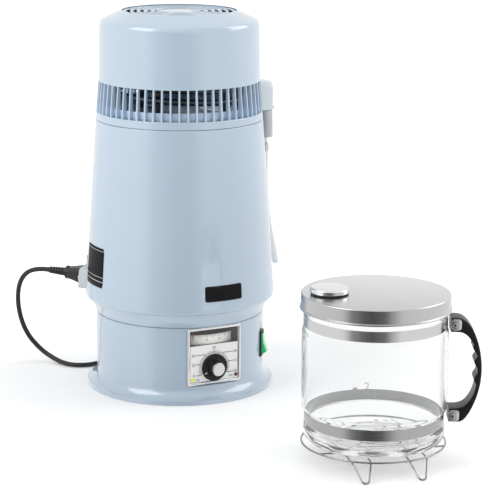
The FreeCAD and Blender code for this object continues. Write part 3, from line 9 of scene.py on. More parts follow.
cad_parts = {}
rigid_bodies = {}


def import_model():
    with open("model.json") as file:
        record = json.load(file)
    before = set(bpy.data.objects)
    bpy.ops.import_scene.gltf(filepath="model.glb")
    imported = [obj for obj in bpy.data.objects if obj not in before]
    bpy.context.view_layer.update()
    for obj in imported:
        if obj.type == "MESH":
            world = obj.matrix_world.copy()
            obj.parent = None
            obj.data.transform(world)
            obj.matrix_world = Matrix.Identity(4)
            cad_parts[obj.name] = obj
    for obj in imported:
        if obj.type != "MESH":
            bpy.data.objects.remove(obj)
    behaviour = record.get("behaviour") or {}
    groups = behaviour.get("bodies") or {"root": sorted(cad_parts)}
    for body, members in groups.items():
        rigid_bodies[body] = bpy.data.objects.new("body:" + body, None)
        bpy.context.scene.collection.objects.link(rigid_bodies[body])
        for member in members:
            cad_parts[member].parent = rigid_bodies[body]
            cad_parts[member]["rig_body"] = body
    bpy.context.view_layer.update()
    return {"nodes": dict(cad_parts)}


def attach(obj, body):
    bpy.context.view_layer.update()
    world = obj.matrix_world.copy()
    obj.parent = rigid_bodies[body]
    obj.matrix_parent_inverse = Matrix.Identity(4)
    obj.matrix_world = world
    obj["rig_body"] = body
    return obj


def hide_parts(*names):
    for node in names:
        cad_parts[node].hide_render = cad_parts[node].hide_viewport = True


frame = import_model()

NODES = frame["nodes"]
MM = 0.001
UP = np.array([0.0, 0.0, 1.0])
SAME_POINT = 2e-6       # metres
LONGEST_BEND = 0.38     # of the shorter line beside a corner

# Bearings in degrees from -Y towards +X
BACK = -130.0           # power inlet and fan socket
SWITCH = 51.0
SPOUT = 86.0

# Places in millimetres, angles of turned parts in degrees
WALL = 103.8            # radius of the base's wall
FLAT = 96.5             # distance of its flat from the axis
FACE = 97.9             # distance of the controller's face
PANEL_Z = 56.1          # middle of the controller
KNOB_Z = 41.1           # the knob's axis
SWITCH_Z = 54.0         # middle of the switch
GRILLE_Z = 462.6        # floor of the recess on top
CUP_OUT = 112.15        # the cup's distance from the axis
JUG = (64.0, -370.0)    # the jug's axis, x and y
DIAL_START = -114.0     # the dial's zero, from straight up
ROCKER_TILT = math.radians(-12.0)


# Plain geometry

def bearing(angle):
    """Outward and sideways unit vectors at an angle from -Y towards +X: (sin a, -cos a) and (cos a, sin a)."""
    a = math.radians(angle)
    return np.array([math.sin(a), -math.cos(a), 0.0]), np.array([math.cos(a), math.sin(a), 0.0])


def bent(a, p, b, t):
    """The curve (1-t)^2 A + 2t(1-t) P + t^2 B, which leaves A towards P and comes to B from P."""
    return (1 - t) ** 2 * a + 2 * t * (1 - t) * p + t ** 2 * b


def softened(corners, reach, steps=6):
    """A line of points whose inner corners are bent, from up to reach before to up to reach after each.

    Two more points a little outside the ends of each bend hold the flats flat."""
    p = np.asarray(corners, float)
    back, ahead = p[:-2] - p[1:-1], p[2:] - p[1:-1]
    lb, la = (np.linalg.norm(way, axis=1)[:, None] for way in (back, ahead))
    r = np.minimum(np.broadcast_to(np.reshape(reach, (-1, 1)), lb.shape), LONGEST_BEND * np.minimum(lb, la))
    a = (p[1:-1] + back / lb * r)[:, None]
    b = (p[1:-1] + ahead / la * r)[:, None]
    bend = bent(a, p[1:-1, None], b, np.linspace(0, 1, steps)[None, :, None])
    extra = np.minimum(0.25 * r, 0.5)[:, None]
    before = a + (back / lb)[:, None] * extra
    after = b + (ahead / la)[:, None] * extra
    inner = np.concatenate([before, bend, after], axis=1).reshape(-1, p.shape[1])
    return np.concatenate([p[:1], inner, p[-1:]])


def put(name, data, body=None):
    """An object in the scene for some data; with a body it rides on it."""
    piece = bpy.data.objects.new(name, data)
    bpy.context.scene.collection.objects.link(piece)
    if body:
        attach(piece, body)
    return piece


def shaded(mesh, material, smooth_angle):
    """One material, and soft shading over edges below an angle."""
    mesh.polygons.foreach_set("use_smooth", np.ones(len(mesh.polygons), bool))
    mesh.set_sharp_from_angle(angle=math.radians(smooth_angle))
    mesh.materials.clear()
    mesh.materials.append(material)


def finished_mesh(name, verts, faces, material, body, smooth_angle=35.0, outward=True):
    """A mesh in metres from points in millimetres, with doubles merged and, if asked, its faces outward."""
    mesh = bpy.data.meshes.new(name)
    mesh.from_pydata((np.asarray(verts, float) * MM).tolist(), [], faces)
    work = bmesh.new()
    work.from_mesh(mesh)
    bmesh.ops.remove_doubles(work, verts=work.verts, dist=SAME_POINT)
    bmesh.ops.dissolve_degenerate(work, edges=work.edges, dist=SAME_POINT / 2)
    if outward:
        bmesh.ops.recalc_face_normals(work, faces=work.faces)
    work.to_mesh(mesh)
    work.free()
    shaded(mesh, material, smooth_angle)
    return put(name, mesh, body)


def grid_faces(rows, columns, wrap_rows=False, wrap_columns=False, keep=None):
    """Quads between neighbouring points of a grid that is stored row by row; keep drops cells."""
    i, j = np.meshgrid(np.arange(rows if wrap_rows else rows - 1),
                       np.arange(columns if wrap_columns else columns - 1), indexing="ij")
    n = (i + 1) % rows
    m = (j + 1) % columns
    quads = np.stack([i * columns + j, i * columns + m, n * columns + m, n * columns + j], axis=-1)
    if keep is not None:
        quads = quads[keep]
    return quads.reshape(-1, 4).tolist()


def surface(name, points, material, body, smooth_angle=35.0, wrap_rows=False, wrap_columns=True,
            keep=None, ends=False, outward=True):
    """A mesh over a grid of points (rows, columns, 3); ends closes its first and last rows with a face each."""
    rows, columns = points.shape[:2]
    faces = grid_faces(rows, columns, wrap_rows, wrap_columns, keep)
    if ends:
        faces.append(list(range(columns))[::-1])
        faces.append(list(range((rows - 1) * columns, rows * columns)))
    return finished_mesh(name, points.reshape(-1, 3), faces, material, body, smooth_angle, outward)


def full_turn(count):
    return np.linspace(0, 2 * math.pi, count, endpoint=False)


def lathe(name, profile, material, body, at=(0, 0), columns=192, closed=False, smooth_angle=35.0):
    """A profile (r, z) turned about an upright axis: (x0 + r cos t, y0 + r sin t, z)."""
    p = np.asarray(profile, float)
    t = full_turn(columns)
    points = np.stack([at[0] + p[:, :1] * np.cos(t), at[1] + p[:, :1] * np.sin(t),
                       np.broadcast_to(p[:, 1:], (len(p), columns))], axis=-1)
    return surface(name, points, material, body, smooth_angle, wrap_rows=closed)


def lathe_forward(name, profile, x0, z0, material, body, columns=96, flutes=0, flute_depth=0.0):
    """A profile (r, depth) turned about an axis along -Y: (x0 + r cos t, -depth, z0 + r sin t).

    Flutes are cut by a cosine where r is near its largest."""
    p = np.asarray(profile, float)
    t = full_turn(columns)
    r = np.broadcast_to(p[:, :1], (len(p), columns))
    rim = np.clip((r - 0.86 * r.max()) / (0.14 * r.max()), 0, 1)
    r = r - rim * flute_depth * (0.5 + 0.5 * np.cos(flutes * t))
    points = np.stack([x0 + r * np.cos(t), np.broadcast_to(-p[:, 1:], r.shape), z0 + r * np.sin(t)], axis=-1)
    return surface(name, points, material, body)


def rounded_outline(size, corner, steps=7, at=(0.0, 0.0)):
    """Points and outward normals round a rectangle with quarter-circle corners; many sizes give many outlines."""
    t = np.linspace(0, math.pi / 2, steps)
    quarter = np.concatenate([t + k * math.pi / 2 for k in range(4)])
    normals = np.stack([np.cos(quarter), np.sin(quarter)], axis=-1)
    signs = np.repeat([(1, 1), (-1, 1), (-1, -1), (1, -1)], steps, axis=0)
    return signs * (np.asarray(size, float) / 2 - corner) + corner * normals + at, normals


def outline_normals(points):
    """Outward normals of a closed counterclockwise line, from the chord between each point's neighbours."""
    chord = np.roll(points, -1, axis=0) - np.roll(points, 1, axis=0)
    chord /= np.linalg.norm(chord, axis=1)[:, None]
    return np.stack([chord[:, 1], -chord[:, 0]], axis=-1)


def aimed(foot, ahead, across, up=UP):
    """A map of (across, up) and a distance ahead of a foot: foot + ahead d + across x + up y."""
    def place(flat, distance):
        return foot + ahead * distance + flat[:, :1] * across + flat[:, 1:] * up
    return place


def layered(name, outline, rows, place, material, body, smooth_angle=35.0, ring=False):
    """An outline repeated at rows of (inset, depth): point = place(outline - inset * normal, depth).

    The first and last rows are closed with one face each, or joined to each other for a ring."""
    points, normals = outline
    grid = np.stack([place(points - inset * normals, depth) for inset, depth in rows])
    return surface(name, grid, material, body, smooth_angle, wrap_rows=ring, ends=not ring)


def section_stack(name, stack, place, material, body, steps=7):
    """Rounded-rectangle sections (width, tall, corner, distance) joined one after another."""
    grid = np.stack([place(rounded_outline((w, h), min(corner, 0.499 * h, 0.499 * w), steps)[0], distance)
                     for w, h, corner, distance in stack])
    return surface(name, grid, material, body, 32.0, ends=True)


def edge_rows(front, back, soft, steps=4):
    """Rows (inset, depth) of a slab from front to back whose edges are quarter circles of radius soft."""
    t = np.linspace(0, math.pi / 2, steps)
    s = math.copysign(1, back - front)
    first = [(soft * (1 - math.sin(a)), front + s * soft * (1 - math.cos(a))) for a in t]
    last = [(soft * (1 - math.cos(a)), back - s * soft * (1 - math.sin(a))) for a in t]
    return first + last


def tube_mesh(name, path, radius, material, body, closed=False):
    """A round bar along points: p + radius (cos t u + sin t v), with u, v square to the path's direction."""
    p = np.asarray(path, float)
    along = np.roll(p, -1, axis=0) - np.roll(p, 1, axis=0) if closed else np.gradient(p, axis=0)
    along /= np.linalg.norm(along, axis=1)[:, None]
    u = np.cross(along, UP)
    u /= np.linalg.norm(u, axis=1)[:, None]
    v = np.cross(u, along)
    t = full_turn(12)[None, :, None]
    points = p[:, None] + radius * (np.cos(t) * u[:, None] + np.sin(t) * v[:, None])
    return surface(name, points, material, body, 50.0, wrap_rows=closed, ends=not closed)


def stroke(p, q, width):
    """A flat quad from p to q."""
    p, q = np.array(p, float), np.array(q, float)
    along = (q - p) / np.linalg.norm(q - p)
    side = np.array([-along[1], along[0]]) * width / 2
    return np.stack([p - side, q - side, q + side, p + side])


def printed(name, strokes, place, material, body):
    """Flat strokes laid on a form by place(flat)."""
    flat = np.concatenate(strokes)
    faces = np.arange(len(flat)).reshape(-1, 4).tolist()
    return finished_mesh(name, place(flat), faces, material, body, outward=False)


def turned_towards(piece, way, face=0):
    """Turns a piece's faces over if the given one looks away from a direction."""
    if np.dot(piece.data.polygons[face].normal, way) < 0:
        piece.data.flip_normals()


def joined_pieces(name, pieces):
    """Several meshes made one, for a piece that repeats a form."""
    bpy.ops.object.select_all(action="DESELECT")
    for piece in pieces:
        piece.select_set(True)
    bpy.context.view_layer.objects.active = pieces[0]
    bpy.ops.object.join()
    pieces[0].name = name
    return pieces[0]


def thickened(piece, thickness):
    """Gives a surface a wall of this thickness on its inner side."""
    wall = piece.modifiers.new("wall", "SOLIDIFY")
    wall.thickness = thickness * MM
    wall.offset = -1


# Shader arithmetic

def overload(operation, swapped=False):
    """An operator that adds a Math node; swapped puts its own value second."""
    def apply(self, other):
        return self.maths(operation, *((other, self) if swapped else (self, other)))
    return apply


class Tap:
    """A shader value that can be used in plain arithmetic; each operation adds a Math node."""

    def __init__(self, board, socket):
        self.board = board
        self.socket = socket

    def maths(self, operation, *values):
        return self.board.node("ShaderNodeMath", {"operation": operation}, *values)

    __add__, __radd__ = overload("ADD"), overload("ADD", True)
    __mul__, __rmul__ = overload("MULTIPLY"), overload("MULTIPLY", True)
    __sub__, __rsub__ = overload("SUBTRACT"), overload("SUBTRACT", True)
    __truediv__, __rtruediv__ = overload("DIVIDE"), overload("DIVIDE", True)
    __pow__, __rpow__ = overload("POWER"), overload("POWER", True)
    __lt__ = overload("LESS_THAN")

    def absolute(self):
        return self.maths("ABSOLUTE", self)

    def sine(self):
        return self.maths("SINE", self)


class Board:
    """One material's node board: a Principled shader wired to its output, and object coordinates."""

    def __init__(self, name, world=None):
        self.owner = world or bpy.data.materials.new(name)
        self.owner.use_nodes = True
        self.tree = self.owner.node_tree
        self.tree.nodes.clear()
        self.output = self.tree.nodes.new("ShaderNodeOutputWorld" if world else "ShaderNodeOutputMaterial")
        if not world:
            self.shader = self.tree.nodes.new("ShaderNodeBsdfPrincipled")
            self.tree.links.new(self.shader.outputs[0], self.output.inputs[0])
            self.where = self.node("ShaderNodeTexCoord", out=3)
            split = self.tree.nodes.new("ShaderNodeSeparateXYZ")
            self.tree.links.new(self.where.socket, split.inputs[0])
            self.xyz = [Tap(self, split.outputs[k]) for k in range(3)]

    def node(self, kind, settings=None, *values, out=0, **named):
        """A node of one kind: settings first, then its sockets' values or links, by place or by name."""
        made = self.tree.nodes.new(kind)
        for key, value in (settings or {}).items():
            if key == "stops":
                self.ramp(made, value)
            else:
                setattr(made, key, value)
        for place, value in enumerate(values):
            self.feed(made.inputs[place], value)
        for key, value in named.items():
            self.feed(made.inputs[key.replace("_", " ")], value)
        return Tap(self, made.outputs[out])

    @staticmethod
    def ramp(made, stops):
        elements = made.color_ramp.elements
        while len(elements) < len(stops):
            elements.new(0.5)
        for element, (position, colour) in zip(elements, stops):
            element.position = position
            element.color = colour if len(colour) == 4 else (*colour, 1)

    def feed(self, socket, value):
        if isinstance(value, Tap):
            self.tree.links.new(value.socket, socket)
        elif isinstance(value, (tuple, list)):
            socket.default_value = (*value, 1) if len(socket.default_value) == 4 and len(value) == 3 else value
        else:
            socket.default_value = value

    def finish(self, **sockets):
        for key, value in sockets.items():
            self.feed(self.shader.inputs[key.replace("_", " ")], value)
        return self.owner

    def noise(self, scale, detail=2.0, rough=0.5, where=None):
        return self.node("ShaderNodeTexNoise", {}, where or self.where, Scale=scale, Detail=detail, Roughness=rough)

    def clamped(self, operation, *values):
        """A Math node whose result is kept between 0 and 1."""
        return self.node("ShaderNodeMath", {"operation": operation, "use_clamp": True}, *values)

    def stretched(self, scale):
        return self.node("ShaderNodeMapping", {}, self.where, Scale=scale)

    def blend(self, share, low, high):
        """Colour between low and high by a share from 0 to 1."""
        mix = self.tree.nodes.new("ShaderNodeMix")
        mix.data_type = "RGBA"
        self.feed(mix.inputs["Factor"], share)
        self.feed(mix.inputs[6], low)
        self.feed(mix.inputs[7], high)
        return Tap(self, mix.outputs[2])

    def bump(self, height, strength, distance):
        return self.node("ShaderNodeBump", {}, Height=height, Strength=strength, Distance=distance)


def tinted(colour, share):
    return tuple(c * share for c in colour)


def painted(name="glossy_paint", colour=(0.405, 0.51, 0.612)):
    """Sprayed gloss paint: a faint drift of tone and the low ripple that spraying leaves."""
    b = Board(name)
    drift = b.noise(9.0, 3.0)
    ripple = b.noise(260.0, 1.0)
    dust = b.noise(900.0, 2.0)
    tone = b.blend(drift, tinted(colour, 0.97), tinted(colour, 1.03))
    return b.finish(Base_Color=tone, Roughness=drift * 0.05 + 0.3 + dust * 0.03, Coat_Weight=1.0,
                    Coat_Roughness=0.1, Coat_IOR=1.8, Normal=b.bump(ripple, 0.05, 0.0004), IOR=1.45)


def fin_paint():
    """The same paint with painted light: the fins' outer faces paler than the cover, and the flanks inside the slots
    a deeper blue, painted bounce light where the paint only sees itself.
    """
    b = Board("fin_paint")
    x, y, z = b.xyz
    depth = (x * x + y * y) ** 0.5 + (z - 0.379) * 0.0863
    front = b.clamped("MULTIPLY", depth - 0.0973, 1400.0)
    drift = b.noise(40.0, 2.0)
    # Painted light: the flanks a deeper blue for bounce light, the outer faces paler than the cover's paint
    painted_bounce_tone = b.blend(drift, (0.42, 0.55, 0.72), (0.46, 0.59, 0.76))
    return b.finish(Base_Color=b.blend(front, painted_bounce_tone, (0.46, 0.56, 0.66)), Roughness=drift * 0.05 + 0.3,
                    Coat_Weight=0.6, Coat_Roughness=0.1)


def brushed(name, centre, colour=(0.62, 0.62, 0.625), rough=0.2, round_marks=True, sheen_way=None):
    """Steel with fine marks that run round an upright axis, from noise on distance and height only.

    Its last argument, if given, is a direction for a painted reflection: the steel is painted darker towards one side
    of the piece and paler towards the other, across the piece."""
    b = Board(name)
    x, y, z = b.xyz
    dx = x - centre[0] * MM
    dy = y - centre[1] * MM
    reach = (dx * dx + dy * dy) ** 0.5
    line = b.node("ShaderNodeCombineXYZ", {}, reach, z, 0.0)
    marks = b.noise(2600.0 if round_marks else 900.0, 3.0, 0.6, line)
    smear = b.noise(22.0, 3.0)
    if sheen_way:
        # Painted reflection: a darker and a paler copy of the steel blended across the piece along this direction
        across = b.clamped("ADD", (dx * sheen_way[0] + dy * sheen_way[1]) / 0.16, 0.5)
        tone = b.blend(across, b.blend(marks, tinted(colour, 0.72), tinted(colour, 0.88)),
                       b.blend(marks, tinted(colour, 1.08), tinted(colour, 1.26)))
    else:
        tone = b.blend(marks, tinted(colour, 0.9), tinted(colour, 1.08))
    return b.finish(Base_Color=tone, Metallic=1.0, Roughness=marks * 0.08 + smear * 0.05 + rough,
                    Normal=b.bump(marks, 0.05, 0.0001))


def polished(name, colour=(0.78, 0.78, 0.79), rough=0.06):
    """Polished metal with faint wiping marks."""
    b = Board(name)
    smear = b.noise(60.0, 4.0)
    return b.finish(Base_Color=b.blend(smear, tinted(colour, 0.95), colour), Metallic=1.0,
                    Roughness=smear * 0.06 + rough, Normal=b.bump(smear, 0.02, 0.0002))


def moulded(name, colour, rough=0.45, grain=0.25, grain_scale=1500.0, spread=0.12, shine=0.4):
    """Moulded plastic: a fine spark-eroded grain and a slight drift of tone and gloss."""
    b = Board(name)
    fine = b.noise(grain_scale, 2.0, 0.6)
    drift = b.noise(40.0, 3.0)
    tone = b.blend(drift, tinted(colour, 1 - spread), tinted(colour, 1 + spread))
    return b.finish(Base_Color=tone, Roughness=fine * 0.12 + drift * 0.06 + rough - 0.08,
                    Specular_IOR_Level=shine, Normal=b.bump(fine, grain, 0.0001))


def clear_glass():
    """Pressed glass with the faint waves of its mould."""
    b = Board("clear_glass")
    waves = b.noise(34.0, 2.0, where=b.stretched((1.0, 1.0, 0.35)))
    return b.finish(Base_Color=(0.985, 0.99, 0.99), Roughness=0.0, IOR=1.22, Transmission_Weight=0.93,
                    Normal=b.bump(waves, 0.1, 0.002))


def frosted(name, colour, rough, passing, ior=1.42):
    """Translucent plastic or silicone: light passes, blurred, with a faint cloudiness."""
    b = Board(name)
    cloud = b.noise(90.0, 3.0)
    tone = b.blend(cloud, tinted(colour, 0.94), colour)
    return b.finish(Base_Color=tone, Roughness=cloud * 0.08 + rough, IOR=ior, Transmission_Weight=passing,
                    Subsurface_Weight=0.25, Subsurface_Scale=0.003, Normal=b.bump(cloud, 0.05, 0.0005))


def lamp_lens(name, colour, glow):
    """A coloured lens with small facets inside."""
    b = Board(name)
    cells = b.node("ShaderNodeTexVoronoi", {}, b.where, Scale=900.0)
    tone = b.blend(cells, tinted(colour, 1.1), tinted(colour, 0.7))
    return b.finish(Base_Color=tone, Roughness=0.12 + cells * 0.05, Coat_Weight=1.0, Emission_Color=tone,
                    Emission_Strength=glow)


def wire_finish():
    """Drawn chromed wire."""
    b = Board("stand_wire")
    marks = b.noise(6.0, 2.0, where=b.stretched((300.0, 300.0, 300.0)))
    return b.finish(Base_Color=b.blend(marks, (0.22, 0.22, 0.225), (0.42, 0.42, 0.43)), Metallic=1.0,
                    Roughness=marks * 0.1 + 0.12)


def plate_print(name, rules=()):
    """A black plate, bare or with thin pale rules of (height, width)."""
    b = Board(name)
    z = b.xyz[2]
    fine = b.noise(700.0, 2.0)
    if rules:
        line = sum((z - height * MM).absolute() < width * MM / 2 for height, width in rules)
        tone = b.blend(line, (0.012, 0.012, 0.014), (0.62, 0.64, 0.66))
    else:
        tone = b.blend(fine, (0.008, 0.008, 0.009), (0.016, 0.016, 0.018))
    return b.finish(Base_Color=tone, Roughness=fine * 0.08 + 0.34, Specular_IOR_Level=0.05,
                    Normal=b.bump(fine, 0.04, 0.0001))


PAINT = painted()
# A bluer, paler copy of the paint for the head's floor: painted bounce light inside the head
INNER_BOUNCE_PAINT = painted("inner_bounce_paint", (0.42, 0.54, 0.68))
FIN_PAINT = fin_paint()
STEEL_STILL = brushed("brushed_still_steel", (0, 0), rough=0.26)
# The lid's steel carries a painted reflection, paler towards the back right
STEEL_LID = brushed("brushed_lid_steel", JUG, (0.62, 0.62, 0.625), rough=0.16, sheen_way=(0.65, 0.76))
STEEL_BAND = brushed("band_steel", JUG, (0.64, 0.64, 0.645), rough=0.13)
STEEL_LOWER = brushed("lower_band_steel", JUG, (0.42, 0.42, 0.425), rough=0.2)
PLATE_STEEL = polished("ear_plate_steel", (0.86, 0.86, 0.87), 0.34)
COIL_STEEL = brushed("coil_steel", (0, 0), (0.10, 0.115, 0.135), rough=0.34, round_marks=False)
CHROME = polished("polished_steel")
SCREW_STEEL = polished("screw_steel", (0.62, 0.62, 0.63), 0.18)
ALUMINIUM = brushed("turned_aluminium", (0, -110), (0.74, 0.74, 0.75), rough=0.22)
BRASS = polished("pin_brass", (0.74, 0.6, 0.32), 0.16)
BLACK = moulded("black_plastic", (0.018, 0.018, 0.019), 0.4)
HANDLE_BLACK = moulded("handle_black", (0.011, 0.011, 0.012), 0.3, 0.14, 900.0, shine=0.22)
GLOSS_BLACK = moulded("knob_black", (0.009, 0.009, 0.01), 0.26, 0.05, shine=0.25)
GREY = moulded("light_grey_plastic", (0.56, 0.59, 0.62), 0.4)
BEZEL_GREY = polished("bezel_silver", (0.82, 0.83, 0.84), 0.2)
DARK_METAL = moulded("black_enamel", (0.03, 0.03, 0.033), 0.34, 0.1)
RUBBER = moulded("black_rubber", (0.02, 0.02, 0.02), 0.55, 0.3, 1100.0)
SEAL = frosted("seal_silicone", (0.86, 0.87, 0.87), 0.4, 0.3)
HOSE = frosted("hose_silicone", (0.88, 0.9, 0.92), 0.3, 0.45)
CUP = frosted("cup_plastic", (0.78, 0.79, 0.8), 0.3, 0.35)
GLASS = clear_glass()
WHITE = moulded("white_plate", (0.88, 0.88, 0.87), 0.34, 0.05, spread=0.03)
CARD = moulded("scale_card", (0.90, 0.89, 0.86), 0.6, 0.2, spread=0.04)
INK = moulded("ink", (0.02, 0.02, 0.022), 0.5, 0.05)
WHITE_INK = moulded("white_ink", (0.8, 0.8, 0.8), 0.45, 0.05)
RED = moulded("pointer_red", (0.6, 0.03, 0.02), 0.35, 0.05)
FELT = moulded("charcoal_felt", (0.08, 0.08, 0.08), 0.85, 0.6, 600.0)
WIRE = wire_finish()
YELLOW_LENS = lamp_lens("yellow_lens", (0.74, 0.74, 0.03), 0.3)
RED_LENS = lamp_lens("dark_red_lens", (0.16, 0.006, 0.01), 0.02)
GREEN = lamp_lens("green_rocker", (0.008, 0.45, 0.13), 0.35)
SPOUT_PLASTIC = painted("spout_paint", (0.64, 0.70, 0.75))
NAME_BLACK = plate_print("name_plate_black")
RATING_BLACK = plate_print("rating_plate_black", [(178.5, 0.5), (141.0, 0.7), (146.5, 0.5)])


def window_clear():
    """The meter's window: thin clear plastic, mostly see-through."""
    b = Board("meter_window_clear")
    smear = b.noise(120.0, 3.0)
    return b.finish(Base_Color=(0.92, 0.94, 0.95), Roughness=smear * 0.05 + 0.03, Alpha=smear * 0.03 + 0.03,
                    Coat_Weight=0.6)


WINDOW = window_clear()

for shown, finish in (("plug_pins", BRASS), ("meter_window", WINDOW), ("hose_collar", SCREW_STEEL)):
    NODES[shown].data.materials.clear()
    NODES[shown].data.materials.append(finish)

# The nodes that are shown as softened copies, each with its finish and how far its sharp edges are broken
EASED = {
    "inlet_surround": (GREY, 0.5), "power_inlet": (BLACK, 0.25), "fan_socket": (BLACK, 0.25),
    "inlet_screws": (SCREW_STEEL, 0.0), "rubber_feet": (RUBBER, 0.4), "bottom_plate": (DARK_METAL, 0.0),
    "bottom_screws": (SCREW_STEEL, 0.0), "condenser_coil": (COIL_STEEL, 0.0), "meter_scale": (CARD, 0.0),
    "meter_pointer": (RED, 0.0), "lid_seal": (SEAL, 0.0), "cap_gasket": (RUBBER, 0.0), "gasket_ring": (SEAL, 0.0),
    "fan_motor": (DARK_METAL, 0.3), "fan_rotor": (BLACK, 0.0), "motor_bracket": (DARK_METAL, 0.2),
    "control_shaft": (SCREW_STEEL, 0.2), "boiler_tank": (STEEL_STILL, 0.0), "heating_ring": (ALUMINIUM, 0.0),
    "thermostat": (GREY, 0.2), "controller_case": (BLACK, 0.3), "head_floor": (INNER_BOUNCE_PAINT, 0.0),
}


# Camera, set up first

def stand_at(thing, side, up, back, where):
    """Sets a camera or lamp at a place, its own axes along three unit vectors."""
    place = np.eye(4)
    place[:3] = np.stack([side, up, back, where], axis=-1)
    thing.matrix_world = Matrix(place.tolist())


def photo_camera():
    """A long lens in front and to the left, tipped down, as in the photograph."""
    pitch, roll, yaw, turn = (math.radians(v) for v in (12.807, 0.370, -0.0316, -27.0))
    ahead = np.array([math.sin(yaw) * math.cos(pitch), math.cos(yaw) * math.cos(pitch), -math.sin(pitch)])
    right = np.array([math.cos(yaw), -math.sin(yaw), 0.0])
    up = np.cross(right, ahead)
    level_right = math.cos(roll) * right + math.sin(roll) * up
    level_up = -math.sin(roll) * right + math.cos(roll) * up
    c, s = math.cos(turn), math.sin(turn)
    spin = np.array([[c, -s, 0], [s, c, 0], [0, 0, 1]])
    data = bpy.data.cameras.new("photo_camera")
    data.sensor_width = 36.0
    data.lens = 142.23
    data.clip_end = 20.0
    camera = put("photo_camera", data)
    where = spin @ np.array([88.4, -2389.0, 709.8]) * MM
    stand_at(camera, spin @ level_right, spin @ level_up, -(spin @ ahead), where)
    bpy.context.scene.camera = camera


def soft_line(name, points, radius, material, body):
    """A cord: one NURBS spline of order 3 whose control points are the route, in millimetres."""
    line = bpy.data.curves.new(name, "CURVE")
    line.dimensions = "3D"
    spline = line.splines.new("NURBS")
    spline.points.add(len(points) - 1)
    whole = np.concatenate([np.asarray(points, float) * MM, np.ones((len(points), 1))], axis=1)
    spline.points.foreach_set("co", whole.reshape(-1))
    spline.order_u = 3
    spline.use_endpoint_u = True
    spline.resolution_u = 6
    line.bevel_depth = radius * MM
    line.bevel_resolution = 3
    line.use_fill_caps = True
    line.materials.append(material)
    return put(name, line, body)


INLET_FOOT = np.array([-89.03, 74.70, 127.3])
INLET_OUT = np.array([-0.76428, 0.64131, 0.06779])
LEAD_EXIT = INLET_FOOT + INLET_OUT * 55.08
COIL_CENTRE = np.array([33.9, 165.7, 3.0])
COIL_AHEAD = np.array([0.45399, 0.89101, 0.0])
COIL_LEFT = np.array([-0.89101, 0.45399, 0.0])


def coil_points():
    """Half turns between places on the coil's left line: centre + side cos t + ahead sin t, 8 points each."""
    stations = [(44.0, 0.0), (-40.15, 0.0), (36.3, 0.0), (-32.45, 0.0), (28.6, 0.0), (-24.75, 0.0),
                (24.75, 6.9), (-28.6, 6.9), (32.45, 6.9), (-36.3, 6.9), (40.15, 6.9)]
    points = []
    way = 1.0
    for (s0, h0), (s1, h1) in zip(stations[:-1], stations[1:]):
        middle = (s0 + s1) / 2
        radius = (s0 - s1) / 2
        for k in range(8):
            t = math.pi * (k + 0.5) / 8
            reach = abs(radius) / 0.981
            along = math.copysign(reach, radius) * math.cos(t)
            points.append(COIL_CENTRE + COIL_LEFT * (middle + along) + COIL_AHEAD * way * reach * math.sin(t)
                          + np.array([0, 0, h0 + (h1 - h0) * (1 - math.cos(t)) / 2]))
        way = -way
    return points


COIL_END = COIL_CENTRE + COIL_LEFT * 40.15 + COIL_AHEAD * 6.0 + UP * 6.9
PLUG_FOOT = COIL_END + COIL_AHEAD * 58.0 + COIL_LEFT * 9.0


def mains_cord():
    route = [LEAD_EXIT, LEAD_EXIT + INLET_OUT * 22.0, (-159.0, 143.9, 112.8), (-158.0, 154.6, 77.0),
             (-145.9, 160.8, 40.0), (-129.4, 155.7, 17.0), (-117.0, 140.4, 6.0), (-109.1, 116.2, 3.0),
             (-94.7, 100.5, 3.0), (-69.9, 98.5, 3.0), (-45.6, 119.8, 3.0), (-25.3, 147.6, 3.0)]
    route += coil_points()
    route += [COIL_END, COIL_END + COIL_AHEAD * 14.0, COIL_END + COIL_AHEAD * 30.0 + COIL_LEFT * 5.5,
              COIL_END + COIL_AHEAD * 45.0 + COIL_LEFT * 9.0, PLUG_FOOT]
    cord = soft_line("mains_lead_cord", route, 3.0, RUBBER, "still")
    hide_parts("mains_lead", "mains_lead_coil", "mains_lead_end")
    connector()
    plug()


SPOUT_OUT, SPOUT_SIDE = bearing(SPOUT)


def spout_place(out, side, z):
    return SPOUT_OUT * out + SPOUT_SIDE * side + UP * z


def hose_cord():
    route = [spout_place(113.8, 0, 293.8), spout_place(113.8, 0, 243.0), spout_place(117.0, 0, 208.0),
             spout_place(122.2, 0, 175.0), spout_place(130.2, 0, 139.7)]
    hose = soft_line("drip_hose_tube", route, 4.1, HOSE, "cup")
    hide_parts("drip_hose")


# Mains connector and plug

def ribs(count, step, size, slimmer, start, wide, gap, groove):
    """A boot's ribs as sections: each one step after the last, wide long, with a slimmer groove behind it."""
    stack = []
    for k in range(count):
        d = start + k * step
        w = size(k)
        v = w - slimmer
        stack += [(w, w, w / 2, d), (w, w, w / 2, d + wide), (v, v, v / 2, d + gap), (v, v, v / 2, d + groove)]
    return stack


def connector():
    """Nose, tapered grip with two shallow steps, ring and ribbed boot."""
    face = 8.08
    stack = [(23.0, 15.0, 1.2, -14.9), (24.0, 16.0, 1.2, -14.2), (24.0, 16.0, 1.2, -0.1), (25.6, 17.6, 4.0, 0.0),
             (27.0, 19.0, 4.5, 1.2), (26.4, 18.8, 4.6, 5.0), (23.0, 17.4, 4.6, 9.0), (19.6, 15.6, 4.6, 14.0),
             (17.2, 14.4, 4.6, 19.0), (16.6, 14.2, 6.0, 20.0), (16.6, 16.6, 8.2, 20.6), (16.9, 16.9, 8.4, 22.0),
             (16.5, 16.5, 8.2, 23.6), (11.0, 11.0, 5.4, 24.0)]
    stack += ribs(6, 3.7, lambda k: 10.8 - 2.6 * k / 6, 2.4, 24.6, 2.2, 2.5, 3.4) + [(7.2, 7.2, 3.6, 47.0)]
    across = bearing(BACK)[1]
    piece = section_stack("mains_connector_body", stack, aimed(INLET_FOOT + INLET_OUT * face, INLET_OUT, across,
                                                               np.cross(INLET_OUT, across)),
                          BLACK, "still")
    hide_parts("mains_connector")
    return piece


